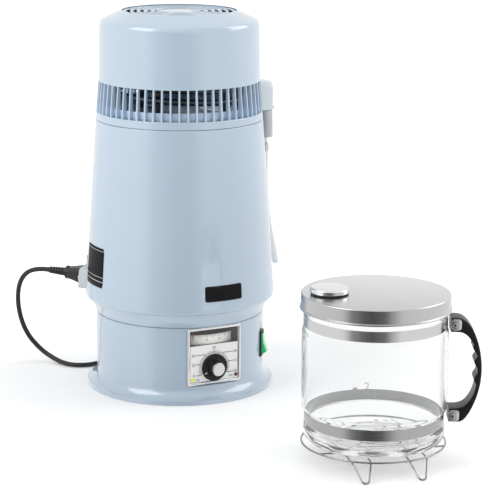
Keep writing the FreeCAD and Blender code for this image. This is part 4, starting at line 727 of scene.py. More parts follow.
def plug():
    """Ribbed boot that widens into a flat rounded body."""
    stack = ribs(5, 4.2, lambda k: 7.8 + 0.75 * k, 2.0, 0.0, 2.6, 2.9, 3.9)
    stack += [(11.5, 10.6, 4.6, 21.6), (19.0, 11.4, 4.6, 24.0), (25.5, 14.0, 5.0, 29.0), (33.0, 18.2, 6.0, 35.5),
              (36.0, 19.5, 6.0, 38.5), (36.0, 19.5, 6.0, 53.0), (35.0, 18.5, 5.6, 55.6), (33.5, 17.2, 5.0, 55.95)]
    piece = section_stack("mains_plug_body", stack, aimed(PLUG_FOOT, COIL_AHEAD, COIL_LEFT), BLACK, "still")
    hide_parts("mains_plug")
    return piece


# Still: base, collar, barrel

def pierced(name, profile, columns, room, openings, smooth_angle=35.0, extra=(), flat=None):
    """A profile (r, z) carried round the still, less openings (bearing, half angle, low, high).

    Columns lie on the openings' edges and at extra angles, and even ones keep clear of them by room. Rows
    marked in flat stop at the controller's flat: r = min(r, FLAT / cos a)."""
    edges = [middle + side * half for middle, half, _, _ in openings for side in (-1, 1)] + list(extra)
    even = np.linspace(-180, 180, columns + 1)[:-1]
    even = even[np.min(np.abs(even[:, None] - np.array(edges)[None]), axis=1) > room]
    angles = np.sort(np.concatenate([even, edges]))
    a = np.radians(angles)[None, :]
    r = np.broadcast_to(profile[:, :1], (len(profile), len(angles)))
    if flat is not None:
        limit = np.where(np.cos(a) > 0.5, FLAT / np.maximum(np.cos(a), 0.2), np.inf)
        r = np.where(flat[:, None], np.minimum(r, limit), r)
    points = np.stack([r * np.sin(a), -r * np.cos(a), np.broadcast_to(profile[:, 1:], r.shape)], axis=-1)
    middles = (angles + np.append(angles[1:], angles[0] + 360))[None, :] / 2
    open_cells = np.zeros((len(profile) - 1, len(angles)), bool)
    for middle, half, low, high in openings:
        open_cells |= (np.abs(middles - middle) < half) & (profile[:-1, 1:] > low) & (profile[1:, 1:] < high)
    return surface(name, points, PAINT, "still", smooth_angle, keep=~open_cells)


def base_shell():
    """Flared foot, upright wall with a flat for the controller and openings for it and the switch.

    The doubled point is the ledge under the flat: its first row is round and its second is flat."""
    turn = np.radians(np.linspace(74.3, 0, 12))
    flare = np.stack([119.9 - 16.1 * np.cos(turn), 21.0 - 16.1 * np.sin(turn)], axis=-1)
    flare = flare[flare[:, 1] < 19.5]
    low = [(113.9, 0.15), (114.6, 0.02), (115.2, 0.2), (115.5, 0.9), (115.5, 4.4)]
    upper = [(103.82, 19.9)] * 2 + [(WALL, z) for z in (21.2, 22.8, 39.5, 54.0, 68.5, 89.4, 91.9)]
    upper += [(103.6, 92.5), (103.1, 92.85), (100.0, 92.88), (93.0, 92.88)]
    profile = np.concatenate([low, flare, upper])
    hole = math.degrees(math.atan(33.3 / FLAT))
    corner = math.degrees(math.acos(FLAT / WALL))
    switch = math.degrees(math.asin(7.35 / WALL))
    beside = [side * corner + step for side in (-1, 1) for step in (-0.4, 0.0, 0.4)]
    piece = pierced("base_housing_shell", profile, 180, 0.5, [(0, hole, 22.7, 89.5), (SWITCH, switch, 39.4, 68.6)],
                    17.0, beside, np.arange(len(profile)) > len(low) + len(flare))
    thickened(piece, 1.5)
    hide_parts("base_housing")


def collar():
    """A groove, then a wall that sweeps out in a hollow curve to the barrel's foot."""
    sweep = bent(*np.array([(104.4, 94.6), (106.1, 102.7), (112.4, 110.3)]), np.linspace(0, 1, 14)[:, None])
    profile = np.concatenate([[(98.0, 92.95), (102.4, 92.95), (102.4, 94.4), (104.0, 94.4)], sweep,
                              [(112.6, 110.7), (112.3, 110.95), (110.0, 110.98), (96.5, 110.98)]])
    piece = lathe("collar_sweep", profile, PAINT, "still", smooth_angle=40.0)
    thickened(piece, 1.4)
    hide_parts("collar_ring")


def barrel_radius(z):
    """The barrel's cone: its radius falls evenly from its foot up."""
    return 116.9 - (z - 117.3) * 0.067939


def barrel():
    """The tall tapered shell, with openings behind the power inlet and the fan socket."""
    roll = bent(*np.array([(112.3, 111.0), (116.75, 111.3), (116.9, 117.3)]), np.linspace(0, 1, 12)[:, None])
    heights = np.concatenate([[118.0, 137.6, 143.7, 153.7], np.linspace(165, 320, 12), [329.0]])
    wall = np.stack([barrel_radius(heights), heights], axis=-1)
    top = [(102.35, 331.2), (102.1, 331.9), (101.5, 332.15), (100.0, 332.18), (95.2, 332.18)]
    inlet = math.degrees(math.asin(14.25 / 116.2))
    fan = math.degrees(math.asin(9.7 / 114.8))
    piece = pierced("barrel_shell_skin", np.concatenate([[(108.2, 111.02)], roll, wall, top]), 240, 0.4,
                    [(BACK, inlet, 117.2, 137.7), (BACK, fan, 143.6, 153.8)])
    thickened(piece, 1.4)
    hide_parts("barrel_shell")


def wall_plate(name, node, middle, half, low, high, material):
    """A thin plate on the barrel's cone: (R sin a, -R cos a, z) with R falling evenly in z, corners trimmed round."""
    centre, tall = (low + high) / 2, high - low
    radius = barrel_radius(centre)
    width = 2 * math.radians(half) * radius
    corner = 1.6
    u, v = np.meshgrid(np.linspace(-width / 2, width / 2, 25), np.linspace(-tall / 2, tall / 2, 13))
    trim = np.clip(np.abs(v) - (tall / 2 - corner), 0, corner) / corner
    u = np.sign(u) * np.minimum(np.abs(u), width / 2 - corner * (1 - np.sqrt(1 - trim ** 2)))
    a = math.radians(middle) + u / radius
    r = barrel_radius(v + centre) + 0.55
    points = np.stack([r * np.sin(a), -r * np.cos(a), v + centre], axis=-1)
    piece = surface(name, points, material, "still", wrap_columns=False, outward=False)
    thickened(piece, 0.45)
    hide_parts(node)


# Head


def cover_radius(z):
    return np.interp(z, [332.6, 341.9, 379.0, 446.3], [102.2, 101.7, 98.5, 97.1])


def head_shell():
    """Upper cover from the slots' top edge over the shoulder to the recess, and the foot ring below the slots."""
    corners = [(96.3, 379.15), (98.2, 379.05), (98.45, 379.8), (97.1, 446.3), (95.9, 451.3), (92.0, 453.6),
               (70.8, 463.5), (69.3, 464.0), (69.25, GRILLE_Z)]
    profile = softened(corners, [0.4, 0.5, 3.0, 4.0, 3.0, 2.0, 1.0])
    piece = lathe("head_cover_shell", profile, PAINT, "head", columns=240)
    thickened(piece, 1.9)
    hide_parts("head_cover")
    foot = [(97.8, 332.6), (101.9, 332.6), (102.2, 333.2), (101.75, 341.2), (101.2, 341.9), (95.9, 341.9)]
    thickened(lathe("head_cover_foot", softened(foot, 0.5), PAINT, "head", columns=240), 1.2)


def vent_fins():
    """Sixty upright fins between the slots: each a slab 2.1 mm wide from inside out to the cover's line."""
    count = 60
    a = np.radians(SPOUT + 3.0 + np.arange(count) * 6.0)
    z = np.array([341.5, 350.0, 360.0, 370.0, 379.6])
    outer = cover_radius(z)
    inner = np.full_like(outer, 94.6)
    r = np.stack([inner, inner, outer - 0.35, outer, outer, outer - 0.35], axis=-1)
    half = np.array([-1.0, 1.0, 1.0, 0.62, -0.62, -1.0]) * 1.05
    out = np.stack([np.sin(a), -np.cos(a)], axis=-1)
    side = np.stack([np.cos(a), np.sin(a)], axis=-1)
    flat = (out[:, None, None] * r[None, :, :, None] + side[:, None, None] * half[None, None, :, None])
    points = np.concatenate([flat, np.broadcast_to(z[None, :, None, None], flat.shape[:3] + (1,))], axis=-1)
    one = np.array(grid_faces(*r.shape, wrap_columns=True))
    faces = (one[None] + (np.arange(count) * r.size)[:, None, None]).reshape(-1, 4).tolist()
    finished_mesh("vent_fins", points.reshape(-1, 3), faces, FIN_PAINT, "head", 30.0)


def top_grille():
    """Recess floor with ring slots between eight parallel-sided spokes: half-angle of a spoke is asin(2.5 / r)."""
    slots = [r + side * 2.5 for r in (28.0, 37.0, 45.6, 54.0, 62.0) for side in (-1, 1)]
    radii = np.array([6.0, 15.0] + slots + [69.2])
    sector = np.radians(45.0)
    half = np.arcsin(np.minimum(2.5 / radii, 0.9))[:, None, None]
    share = np.linspace(0, 1, 9)[None, None, :]
    theta = np.arange(8)[None, :, None] * sector + half + share * (sector - 2 * half)
    theta = theta.reshape(len(radii), -1)
    points = np.stack([radii[:, None] * np.cos(theta), radii[:, None] * np.sin(theta),
                       np.full_like(theta, GRILLE_Z)], axis=-1)
    columns = theta.shape[1]
    open_cells = np.zeros((len(radii) - 1, columns), bool)
    open_cells[2:-1:2] = np.arange(columns) % 9 != 8
    faces = grid_faces(len(radii), columns, wrap_columns=True, keep=~open_cells)
    faces.append(list(range(columns)))
    piece = finished_mesh("top_grille", points.reshape(-1, 3), faces, PAINT, "head", 30.0)
    turned_towards(piece, UP, len(piece.data.polygons) // 2)
    thickened(piece, 2.2)


def spout_block():
    """A rounded block on the head's side whose inner face follows the cover: n = sqrt((R + 0.1)^2 - t^2)."""
    w, low, high, k = 18.0, 337.6, 373.4, 9.0
    t = np.linspace(0, math.pi / 2, 9)
    right = np.stack([w - k + k * np.cos(t), high - k + k * np.sin(t)], axis=-1)
    left = right[::-1] * (-1, 1)
    soft = [(-w, low + 1.2), (-w + 0.4, low + 0.4), (-w + 1.2, low), (w - 1.2, low), (w - 0.4, low + 0.4),
            (w, low + 1.2)]
    outline = np.concatenate([soft, right, left])
    on_axis = aimed(np.zeros(3), SPOUT_OUT, SPOUT_SIDE)

    def place(flat, out):
        on_cover = np.sqrt((cover_radius(flat[:, 1:]) + 0.1) ** 2 - flat[:, :1] ** 2)
        return on_axis(flat, on_cover if out < 0 else out)

    rows = [(0.0, -1.0), (0.0, 104.0)] + [(4.5 * (1 - math.cos(a)), 114.4 + 4.5 * math.sin(a))
                                          for a in np.linspace(0, math.pi / 2, 7)]
    piece = layered("spout_block", (outline, outline_normals(outline)), rows, place, SPOUT_PLASTIC, "head")
    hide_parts("spout_body")


def cup_shell():
    """The filter cup: rounded box sections that widen downward, a stepped foot, neck and nipple."""
    stack = [(31.6, 10.1, 3.8, 328.0), (31.6, 10.1, 3.8, 337.2), (34.0, 12.5, 5.0, 337.25), (34.0, 12.5, 5.0, 335.6),
             (33.4, 11.9, 4.8, 335.4), (33.4, 11.9, 4.8, 334.6), (34.1, 12.5, 5.0, 334.4), (36.2, 12.5, 5.0, 305.0),
             (35.2, 11.8, 4.6, 303.6), (32.0, 9.8, 4.0, 303.35)]
    place = aimed(SPOUT_OUT * CUP_OUT, UP, SPOUT_SIDE, SPOUT_OUT)
    piece = section_stack("filter_cup_shell", stack, place, CUP, "cup", 9)
    lathe("cup_neck", softened([(0, 303.3), (4.6, 303.3), (3.6, 301.5), (3.4, 294.2), (0, 294.2)], 0.6), CUP,
          "cup", at=spout_place(113.8, 0, 0)[:2], columns=32)
    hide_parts("filter_cup")


def charcoal_pad():
    """A crowned pad: x = u (w - k (1 - v^2)), z = v (t - k (1 - u^2)), depth +-h sqrt((1 - u^4)(1 - v^4))."""
    n = 41
    spread = np.sin(np.linspace(-1, 1, n) * math.pi / 2)
    u, v = np.meshgrid(spread, spread)
    low, high = 305.1, 326.6
    across = u * (15.0 + 0.6 * (1 - v) / 2 - 0.7 * (1 - v ** 2))
    tall = v * ((high - low) / 2 - 0.6 * (1 - u ** 2)) + (low + high) / 2
    crown = np.sqrt(np.clip((1 - u ** 4) * (1 - v ** 4), 0, 1))
    lumps = 1 + 0.05 * np.sin(9 * u + 2 * v) * np.sin(8 * v - u)
    flat = np.stack([across, tall], axis=-1).reshape(-1, 2)
    place = aimed(SPOUT_OUT * CUP_OUT, SPOUT_OUT, SPOUT_SIDE)
    verts = [place(flat, side * 4.4 * (crown * lumps).reshape(-1, 1)) for side in (1, -1)]
    one = np.array(grid_faces(n, n))
    faces = np.concatenate([one, one + n * n]).tolist()
    piece = finished_mesh("charcoal_pad", np.concatenate(verts), faces, FELT, "cup", 60.0)
    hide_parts("charcoal_pod")


def coil_tie():
    """A flat tie round the put-away coil's one side: a rounded loop in (across, up), carried along the cord."""
    layered("coil_tie", rounded_outline((20.9, 13.0), 3.2, 9, (-32.5, 6.56)),
            [(0.0, -3.0), (0.0, 3.0), (0.5, 3.0), (0.5, -3.0)],
            aimed(COIL_CENTRE * (1, 1, 0), COIL_AHEAD, COIL_LEFT), BLACK, "still", 40.0, ring=True)


def eased_copy(node, material, width):
    """A copy of a plain node with its triangles merged, its curves shaded soft and its edges just broken."""
    piece = NODES[node].copy()
    data = piece.data = NODES[node].data.copy()
    piece.name = node + "_eased"
    piece.parent = None
    for key in list(piece.keys()):
        del piece[key]
    work = bmesh.new()
    work.from_mesh(data)
    bmesh.ops.remove_doubles(work, verts=work.verts, dist=SAME_POINT)
    bmesh.ops.dissolve_limit(work, angle_limit=math.radians(0.6), verts=work.verts, edges=work.edges)
    work.to_mesh(data)
    work.free()
    shaded(data, material, 32.0)
    bpy.context.scene.collection.objects.link(piece)
    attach(piece, NODES[node]["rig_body"])
    if width:
        bevel = piece.modifiers.new("edges", "BEVEL")
        bevel.width = width * MM
        bevel.segments = 2
        bevel.limit_method = "ANGLE"
        bevel.angle_limit = math.radians(30.0)
        bevel.harden_normals = True
    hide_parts(node)


# Controller and switch

facing = aimed(np.zeros(3), np.array([0.0, -1.0, 0.0]), np.array([1.0, 0.0, 0.0]))


def bezel():
    """A raised frame with a rounded outer edge and a slope down to the face."""
    rows = [(0.0, 96.55), (0.0, 98.2), (0.25, 98.75), (0.8, 98.98), (2.2, 98.95), (3.2, 98.6), (3.9, 98.0),
            (3.98, 96.6)]
    piece = layered("controller_bezel_frame", rounded_outline((72.0, 72.0), 3.0, 9, (0, PANEL_Z)), rows, facing,
                    BEZEL_GREY, "still", 50.0, ring=True)
    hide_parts("controller_bezel")


def on_face(flat):
    return facing(flat + (0, KNOB_Z), FACE + 0.04)


def dial_marks():
    """Ticks, leaders and frame lines printed on the face: thin quads a hair proud of it."""
    strokes = []
    for k in range(31):
        a = math.radians(DIAL_START + k * 7.6)
        d = np.array([math.sin(a), math.cos(a)])
        outer, width = (20.6, 0.7) if k % 5 else (22.0, 1.0)
        strokes.append(stroke(d * 17.9, d * outer, width))
    for side in (-1, 1):
        for angle, z in ((114, -8.3), (76, 5.0), (38, 16.7)):
            a = math.radians(angle)
            strokes.append(stroke((side * 21.4 * math.sin(a), 21.4 * math.cos(a)), (side * 24.4, z), 0.7))
    turned_towards(printed("dial_marks", strokes, on_face, INK, "still"), (0, -1, 0))


def lettering(name, words, material, body, place, bold=0.0):
    """Words as flat meshes: each (text, x, z, size) is centred at its place and mapped by place(flat)."""
    verts, faces, base = [], [], 0
    for text, x, z, size in words:
        font = bpy.data.curves.new(name + "_text", "FONT")
        font.body = text
        font.size = size
        font.offset = bold
        font.align_x = "CENTER"
        font.align_y = "CENTER"
        font.resolution_u = 3
        holder = put(name + "_text", font)
        mesh = bpy.data.meshes.new_from_object(holder)
        co = np.zeros(len(mesh.vertices) * 3)
        mesh.vertices.foreach_get("co", co)
        verts.append(co.reshape(-1, 3)[:, :2] + (x, z))
        faces += [[v + base for v in polygon.vertices] for polygon in mesh.polygons]
        base += len(mesh.vertices)
        bpy.data.objects.remove(holder)
        bpy.data.meshes.remove(mesh)
        bpy.data.curves.remove(font)
    return finished_mesh(name, place(np.concatenate(verts)), faces, material, body, outward=False)


def dial_numbers():
    words = [("0", -27.0, -8.3, 4.8), ("25", -27.4, 5.0, 4.8), ("50", -27.4, 16.7, 4.8), ("75", 0.0, 24.2, 4.6),
             ("100", 27.6, 16.7, 4.2), ("125", 27.6, 5.0, 4.2), ("150", 27.6, -8.0, 4.2), ("ON", -21.8, -14.2, 3.2),
             ("OFF", 22.4, -13.4, 3.2)]
    lettering("dial_numbers", words, INK, "still", on_face, 0.035)


def scale_print():
    """Ticks and numbers on the curved scale: a point at x lies at angle x / R about the pointer's pivot."""
    radius, pivot, first, top = 60.0, 35.3, -24, 81.0

    def wrap(flat):
        a = flat[:, 0] / radius
        reach = radius + 0.05
        return np.stack([reach * np.sin(a), -pivot - reach * np.cos(a), flat[:, 1]], axis=-1)

    strokes = []
    for k in range(31):
        x = radius * math.radians(first + k * 1.6)
        high, width = (2.0, 0.32) if k % 5 else (3.4, 0.52)
        strokes.append(stroke((x, top - high), (x, top), width))
    printed("scale_ticks", strokes, wrap, INK, "still")
    words = [(str(k * 50), radius * math.radians(first + k * 16), 75.2, 3.0) for k in range(4)]
    lettering("scale_numbers", words, INK, "still", wrap)


def knob():
    """A skirt with a fluted rim, a boss and a shallow socket for the silver cap."""
    corners = [(3.05, 98.25), (16.4, 98.25), (17.0, 98.6), (17.0, 100.6), (15.9, 101.8), (11.2, 102.2), (10.5, 103.0),
               (9.6, 109.7), (8.9, 110.75), (8.25, 110.75), (8.25, 110.2), (0.0, 110.2)]
    profile = softened(corners, [0.2, 0.4, 0.8, 0.9, 0.7, 0.8, 0.5, 0.3, 0.05, 0.05], 5)
    piece = lathe_forward("temperature_knob_body", profile, 0.0, KNOB_Z, GLOSS_BLACK, "knob", 160,
                          flutes=40, flute_depth=0.35)
    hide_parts("temperature_knob")
    a = math.radians(DIAL_START)
    d = np.array([math.sin(a), math.cos(a)])
    depth = np.array([102.3, 101.9, 101.9, 102.3])[:, None] + 0.03
    mark = printed("knob_mark", [stroke(d * 12.2, d * 15.6, 0.9)], lambda flat: facing(flat + (0, KNOB_Z), depth),
                   WHITE_INK, "knob")
    turned_towards(mark, (0, -1, 0))
    dome = softened([(0.0, 111.78), (6.9, 111.7), (8.1, 111.3), (8.18, 110.22)], [0.8, 0.4], 5)
    cap = lathe_forward("knob_cap_disc", dome[::-1], 0.0, KNOB_Z, CAP_METAL, "knob")
    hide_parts("knob_cap")


def turned_face(name, centre):
    """Metal with fine rings about an axis along Y, as a lathe leaves."""
    b = Board(name)
    x, _, z = b.xyz
    dz = z - centre[1] * MM
    dx = x - centre[0] * MM
    reach = (dx * dx + dz * dz) ** 0.5
    rings = (reach * 9000.0).sine() * 0.5 + 0.5
    smear = b.noise(300.0, 2.0)
    tone = b.blend(rings, (0.62, 0.62, 0.63), (0.8, 0.8, 0.81))
    return b.finish(Base_Color=tone, Metallic=1.0, Roughness=rings * 0.08 + smear * 0.08 + 0.18,
                    Normal=b.bump(rings, 0.08, 0.0001))


CAP_METAL = turned_face("turned_cap", (0.0, KNOB_Z))


def face_plate():
    """The printed face below the window, with its edges just broken."""
    low, high = 24.3, 69.55
    piece = layered("controller_face_plate", rounded_outline((63.6, high - low), 0.6, 4, (0, (low + high) / 2)),
                    edge_rows(FACE, 96.95, 0.2), facing, WHITE, "still")
    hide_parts("controller_face")


def lamp_dome(name, node, x, z, material):
    """A domed lens on a short round collar."""
    corners = [(2.38, 97.0), (2.38, 98.3), (2.0, 99.05), (1.1, 99.6), (0.0, 99.72)]
    piece = lathe_forward(name, softened(corners, [0.3, 0.5, 0.5], 5), x, PANEL_Z + z, material, "still", 48)
    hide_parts(node)


SWITCH_OUT, SWITCH_SIDE = bearing(SWITCH)


def switch_parts():
    """A black frame with a raised rounded rim, and a green rocker tipped about its pin."""
    place = aimed(np.zeros(3), SWITCH_OUT, SWITCH_SIDE)
    at = (0, SWITCH_Z)
    rows = [(0.0, 103.9), (0.0, 105.0), (0.4, 105.6), (1.1, 105.8), (1.8, 105.6), (2.15, 105.0), (2.2, 90.0),
            (1.0, 90.0)]
    rim = layered("switch_frame_rim", rounded_outline((16.0, 33.0), 2.0, 7, at), rows, place, BLACK, "still",
                  50.0, ring=True)
    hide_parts("switch_frame")
    layered("switch_well", rounded_outline((13.4, 28.0), 1.0, 5, at), edge_rows(91.5, 90.5, 0.2), place, BLACK,
            "still")
    r, front_at, back_at = 12.6, -5.0, 8.0
    edge = math.sqrt(r ** 2 - front_at ** 2)
    t = np.linspace(math.atan2(front_at, edge), math.atan2(back_at, math.sqrt(r ** 2 - back_at ** 2)), 8)
    t = np.concatenate([t, math.pi - t[::-1][:-1]])
    front = [(-edge, front_at), (-edge * 0.5, -4.35), (0.0, -3.5), (edge * 0.5, -4.35)]
    outline = np.concatenate([r * np.stack([np.cos(t), np.sin(t)], axis=-1), front])
    c, s = math.cos(ROCKER_TILT), math.sin(ROCKER_TILT)
    tipped = aimed(SWITCH_OUT * 104.3 + UP * SWITCH_Z, SWITCH_SIDE, SWITCH_OUT * s + UP * c, UP * s - SWITCH_OUT * c)
    rocker = layered("switch_rocker_lens", (outline, outline_normals(outline)), edge_rows(-5.5, 5.5, 0.5), tipped,
                     GREEN, "rocker", 30.0)
    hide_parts("switch_rocker")


# Jug

JUG_FOOT = np.array([*JUG, 0.0])
JUG_FRONT, JUG_OUT = bearing(-27.0)


def jug_place(x, y, z):
    """Jug coordinates, with x out through the handle, to the frame."""
    x, y, z = (np.asarray(v)[..., None] for v in (x, y, z))
    return JUG_FOOT + JUG_OUT * x - JUG_FRONT * y + UP * z


def jug_body():
    """Outer and inner walls in one closed profile, with the two strap grooves and a wavy pressed floor."""
    outer = [(0, 22.6), (40, 22.2), (60, 21.7), (66, 21.7), (73.5, 23.2), (78.0, 30.0), (78.1, 41.2), (76.5, 43.2),
             (76.5, 56.0), (80.4, 60.8), (80.6, 80), (80.6, 147.4), (78.3, 152.5), (78.3, 166.0), (79.0, 171.0),
             (79.0, 182.8), (77.6, 184.0)]
    inner = [(76.2, 183.0), (75.9, 171), (75.3, 166), (75.3, 152.5), (77.4, 147.4), (77.4, 80), (77.2, 60.8),
             (73.6, 56.0), (73.4, 43), (72.6, 35.0), (66.0, 29.2), (56.0, 27.2), (44.0, 28.6), (30.0, 27.0),
             (16.0, 28.4), (0, 28.0)]
    profile = softened(np.array(outer + inner), 3.0, 6)
    piece = lathe("jug_glass_body", profile, GLASS, "jug", at=JUG, smooth_angle=80.0)
    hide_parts("jug_glass")


def strap(name, node, radius, low, high, material):
    """A thin steel band with rolled edges in the glass's groove."""
    corners = [(radius + 0.1, low), (radius + 0.6, low), (radius + 0.68, low + 0.4), (radius + 0.68, high - 0.4),
               (radius + 0.6, high), (radius + 0.1, high)]
    piece = lathe(name, softened(corners, 0.2, 3), material, "jug", at=JUG, closed=True)
    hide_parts(node)


def smooth_line(points, count):
    """Catmull-Rom through the points, p(t) = half the sum of the four cubic weights, then even steps along it."""
    p = np.asarray(points, float)
    p = np.concatenate([2 * p[:1] - p[1:2], p, 2 * p[-1:] - p[-2:-1]])
    k = np.arange(len(p) - 3)
    t = np.linspace(0, 1, 12, endpoint=False)[None, :, None]
    p0, p1, p2, p3 = (p[k + n][:, None] for n in range(4))
    line = 0.5 * (2 * p1 + (p2 - p0) * t + (2 * p0 - 5 * p1 + 4 * p2 - p3) * t ** 2
                  + (3 * p1 - p0 - 3 * p2 + p3) * t ** 3)
    line = np.concatenate([line.reshape(-1, 2), p[-2:-1]])
    run = np.concatenate([[0], np.cumsum(np.linalg.norm(np.diff(line, axis=0), axis=1))])
    even = np.linspace(0, run[-1], count)
    return np.stack([np.interp(even, run, line[:, 0]), np.interp(even, run, line[:, 1])], axis=-1)


def handle():
    """A rounded section carried between an outer and an inner line: mid + a * depth + b * width.

    The inner line has three bumps between the hollows for the fingers."""
    outer = [(81.6, 163.3), (88.0, 163.5), (95.0, 161.9), (101.5, 156.6), (107.5, 147.0), (112.6, 133.0),
             (115.6, 118.0), (116.5, 104.0), (115.4, 89.0), (111.8, 74.0), (106.4, 60.5), (100.5, 50.6),
             (95.0, 46.0), (88.0, 45.6), (81.6, 45.7)]
    inner = [(81.6, 147.6), (88.0, 147.5), (94.5, 146.6), (100.5, 142.6), (104.4, 137.4), (106.6, 133.4),
             (106.0, 130.4), (107.6, 126.8), (110.0, 123.0), (110.9, 119.6), (108.6, 116.4), (107.9, 113.8),
             (109.3, 110.4), (111.4, 106.0), (111.6, 101.0), (109.3, 97.4), (108.2, 94.6), (108.9, 91.2),
             (110.3, 87.0), (108.6, 79.0), (104.6, 70.6), (99.0, 64.2), (92.0, 61.3), (86.0, 60.9), (81.6, 60.8)]
    out_line, in_line = (smooth_line(line, 140) for line in (outer, inner))
    reach = out_line - in_line
    thick = np.linalg.norm(reach, axis=1)[:, None]
    section, _ = rounded_outline(np.stack([thick, np.full_like(thick, 25.9)], axis=-1), 1.9)
    flat = ((out_line + in_line) / 2)[:, None] + (reach / thick)[:, None] * section[..., :1]
    points = jug_place(flat[..., 0], section[..., 1], flat[..., 1])
    piece = surface("jug_handle_grip", points, HANDLE_BLACK, "jug", 40.0, ends=True)
    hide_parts("jug_handle")


def bolt_parts():
    """Rounded square plates, washers and domed cross-slotted heads at the grip's two ends, on both sides."""
    pieces = []
    t = full_turn(40)
    circle = np.stack([np.cos(t), np.sin(t)], axis=-1)
    for height in (156.0, 53.0):
        at = (86.0, height)
        plate = rounded_outline((11.2, 12.4), 3.2, 7, (87.3, height))
        forms = [("ear_plate", plate, (13.8, 12.9, 0.35, 3), PLATE_STEEL),
                 ("washer", (at + 4.5 * circle, circle), (14.5, 13.7, 0.25, 4), SCREW_STEEL),
                 ("bolt_head", (at + 3.0 * circle, circle), (15.9, 14.4, 1.1, 4), SCREW_STEEL)]
        forms += [("bolt_slot", rounded_outline(size, 0.1, 2, at), (15.94, 15.5, 0.05, 2), BLACK)
                  for size in ((2.6, 0.6), (0.6, 2.6))]
        for side in (1, -1):
            place = aimed(JUG_FOOT, JUG_FRONT * side, JUG_OUT)
            pieces += [layered(name, outline, edge_rows(*rows), place, material, "jug")
                       for name, outline, rows, material in forms]
    whole = joined_pieces("handle_fixings", pieces)
    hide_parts("handle_bolts")


def lid():
    """A flat lid with a soft edge, a straight side and a rolled lip."""
    corners = [(76.5, 188.2), (76.5, 188.4), (81.2, 188.3), (81.3, 172.3), (83.35, 171.6), (83.4, 173.3),
               (82.1, 173.9), (82.0, 188.2), (81.2, 189.1), (78.8, 188.9), (77.6, 188.75), (40.0, 188.9),
               (0.0, 189.0)]
    profile = softened(corners, [0.1, 0.3, 0.3, 0.6, 0.5, 0.4, 0.8, 0.5, 0.5, 0.5, 0.3], 5)
    piece = lathe("jug_lid_shell", profile, STEEL_LID, "lid", at=JUG)
    lathe("jug_lid_underside", [(0, 188.25), (76.6, 188.2)], STEEL_LID, "lid", at=JUG, columns=96)
    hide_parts("jug_lid")


def filling_cap():
    """A polished domed cap with a soft edge, standing on its gasket."""
    corners = [(13.4, 184.2), (13.45, 190.75), (20.9, 190.75), (21.4, 191.2), (21.4, 195.0), (19.6, 196.2),
               (12.0, 196.85), (0.0, 197.0)]
    profile = np.concatenate([[(0.0, 184.2)], softened(corners, [0.1, 0.3, 0.3, 1.2, 1.2, 1.0])])
    piece = lathe("fill_cap_dome", profile, CHROME, "cap", at=jug_place(-51.0, -7.0, 0.0)[:2],
                  columns=96)
    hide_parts("fill_cap")


def wire_stand():
    """A ring and four long hairpins of drawn wire, whose turned ends are the feet."""
    front, out = bearing(75.5)
    ring_radius, ring_z, wire = 79.7, 20.3, 1.1
    pieces = []

    def bar(name, path, closed=False):
        path = JUG_FOOT + np.asarray(path, float) @ np.stack([out, -front, UP])
        pieces.append(tube_mesh(name, path, wire, WIRE, "stand", closed))

    t = full_turn(160)
    ring = [ring_radius * np.cos(t), ring_radius * np.sin(t), np.full_like(t, ring_z)]
    bar("stand_ring", np.stack(ring, axis=-1), closed=True)
    level, inner, outer, tip = 18.1, 21.0, 42.0, 4.5
    half = (outer - inner) / 2
    across = np.array([0.0, 1.0, 0.0])
    for side in (-1, 1):
        middle = side * (outer + inner) / 2
        for end in (-1, 1):
            drop = np.array([end * 20.0, 0.0, wire - level])
            way = drop / np.linalg.norm(drop)
            run = np.linalg.norm(drop) - tip
            lean = math.atan2(half, run) - math.asin(tip / math.hypot(run, half))
            foot = np.array([end * 66.0, middle, level])
            corner = foot - across * half
            before = corner - np.array([end * 4.0, 0, 0])
            after = corner + (way * math.cos(lean) + across * math.sin(lean)) * 4.0
            first = bent(before, corner, after, np.linspace(0, 1, 6)[:, None])
            u = np.linspace(-math.pi / 2 + lean, math.pi / 2 - lean, 15)[:, None]
            turned = foot + way * (run + tip * np.cos(u)) + across * tip * np.sin(u)
            mirrored = first[::-1] * (1, -1, 1) + (0, 2 * middle, 0)
            bar("stand_leg", np.concatenate([[(0.0, middle - half, level)], first, turned, mirrored,
                                             [(0.0, middle + half, level)]]))
    for x in (-36.0, 36.0):
        reach = math.sqrt(ring_radius ** 2 - x ** 2)
        bar("stand_cross", [(x, -reach, ring_z), (x, reach, ring_z)])
    whole = joined_pieces("wire_stand", pieces)
    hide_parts("jug_stand")


def measure_marks():
    """A litre mark pressed in the glass's far wall: a dash and a digit just off the inner face."""
    def wrap(flat):
        a = math.radians(97.0) - flat[:, 0] / 77.3
        return jug_place(77.2 * np.cos(a), 77.2 * np.sin(a), flat[:, 1])
    words = [("2", 6.0, 58.5, 13.0), ("-", -8.0, 58.5, 22.0)]
    thickened(lettering("measure_mark", words, SEAL, "jug", wrap, 0.015), 0.4)


# Studio

def stage_plane(name, corners, material):
    mesh = bpy.data.meshes.new(name)
    mesh.from_pydata(corners, [], [[0, 1, 2, 3]])
    mesh.materials.append(material)
    plane = put(name, mesh)
    return plane


def grey(tone):
    return (tone, tone, tone)


# The reflected card's brightness from its left edge to its right
CARD_TONES = [(place, grey(tone)) for place, tone in (
    (0.0, 0.8), (0.12, 0.66), (0.16, 0.34), (0.34, 0.26), (0.38, 0.17), (0.5, 0.15), (0.53, 0.06), (0.565, 0.16),
    (0.74, 0.2), (0.8, 0.5), (1.0, 0.9))]
CARD_LEFT = np.array([-2.04, -0.82])
CARD_RIGHT = np.array([0.3, -2.3])


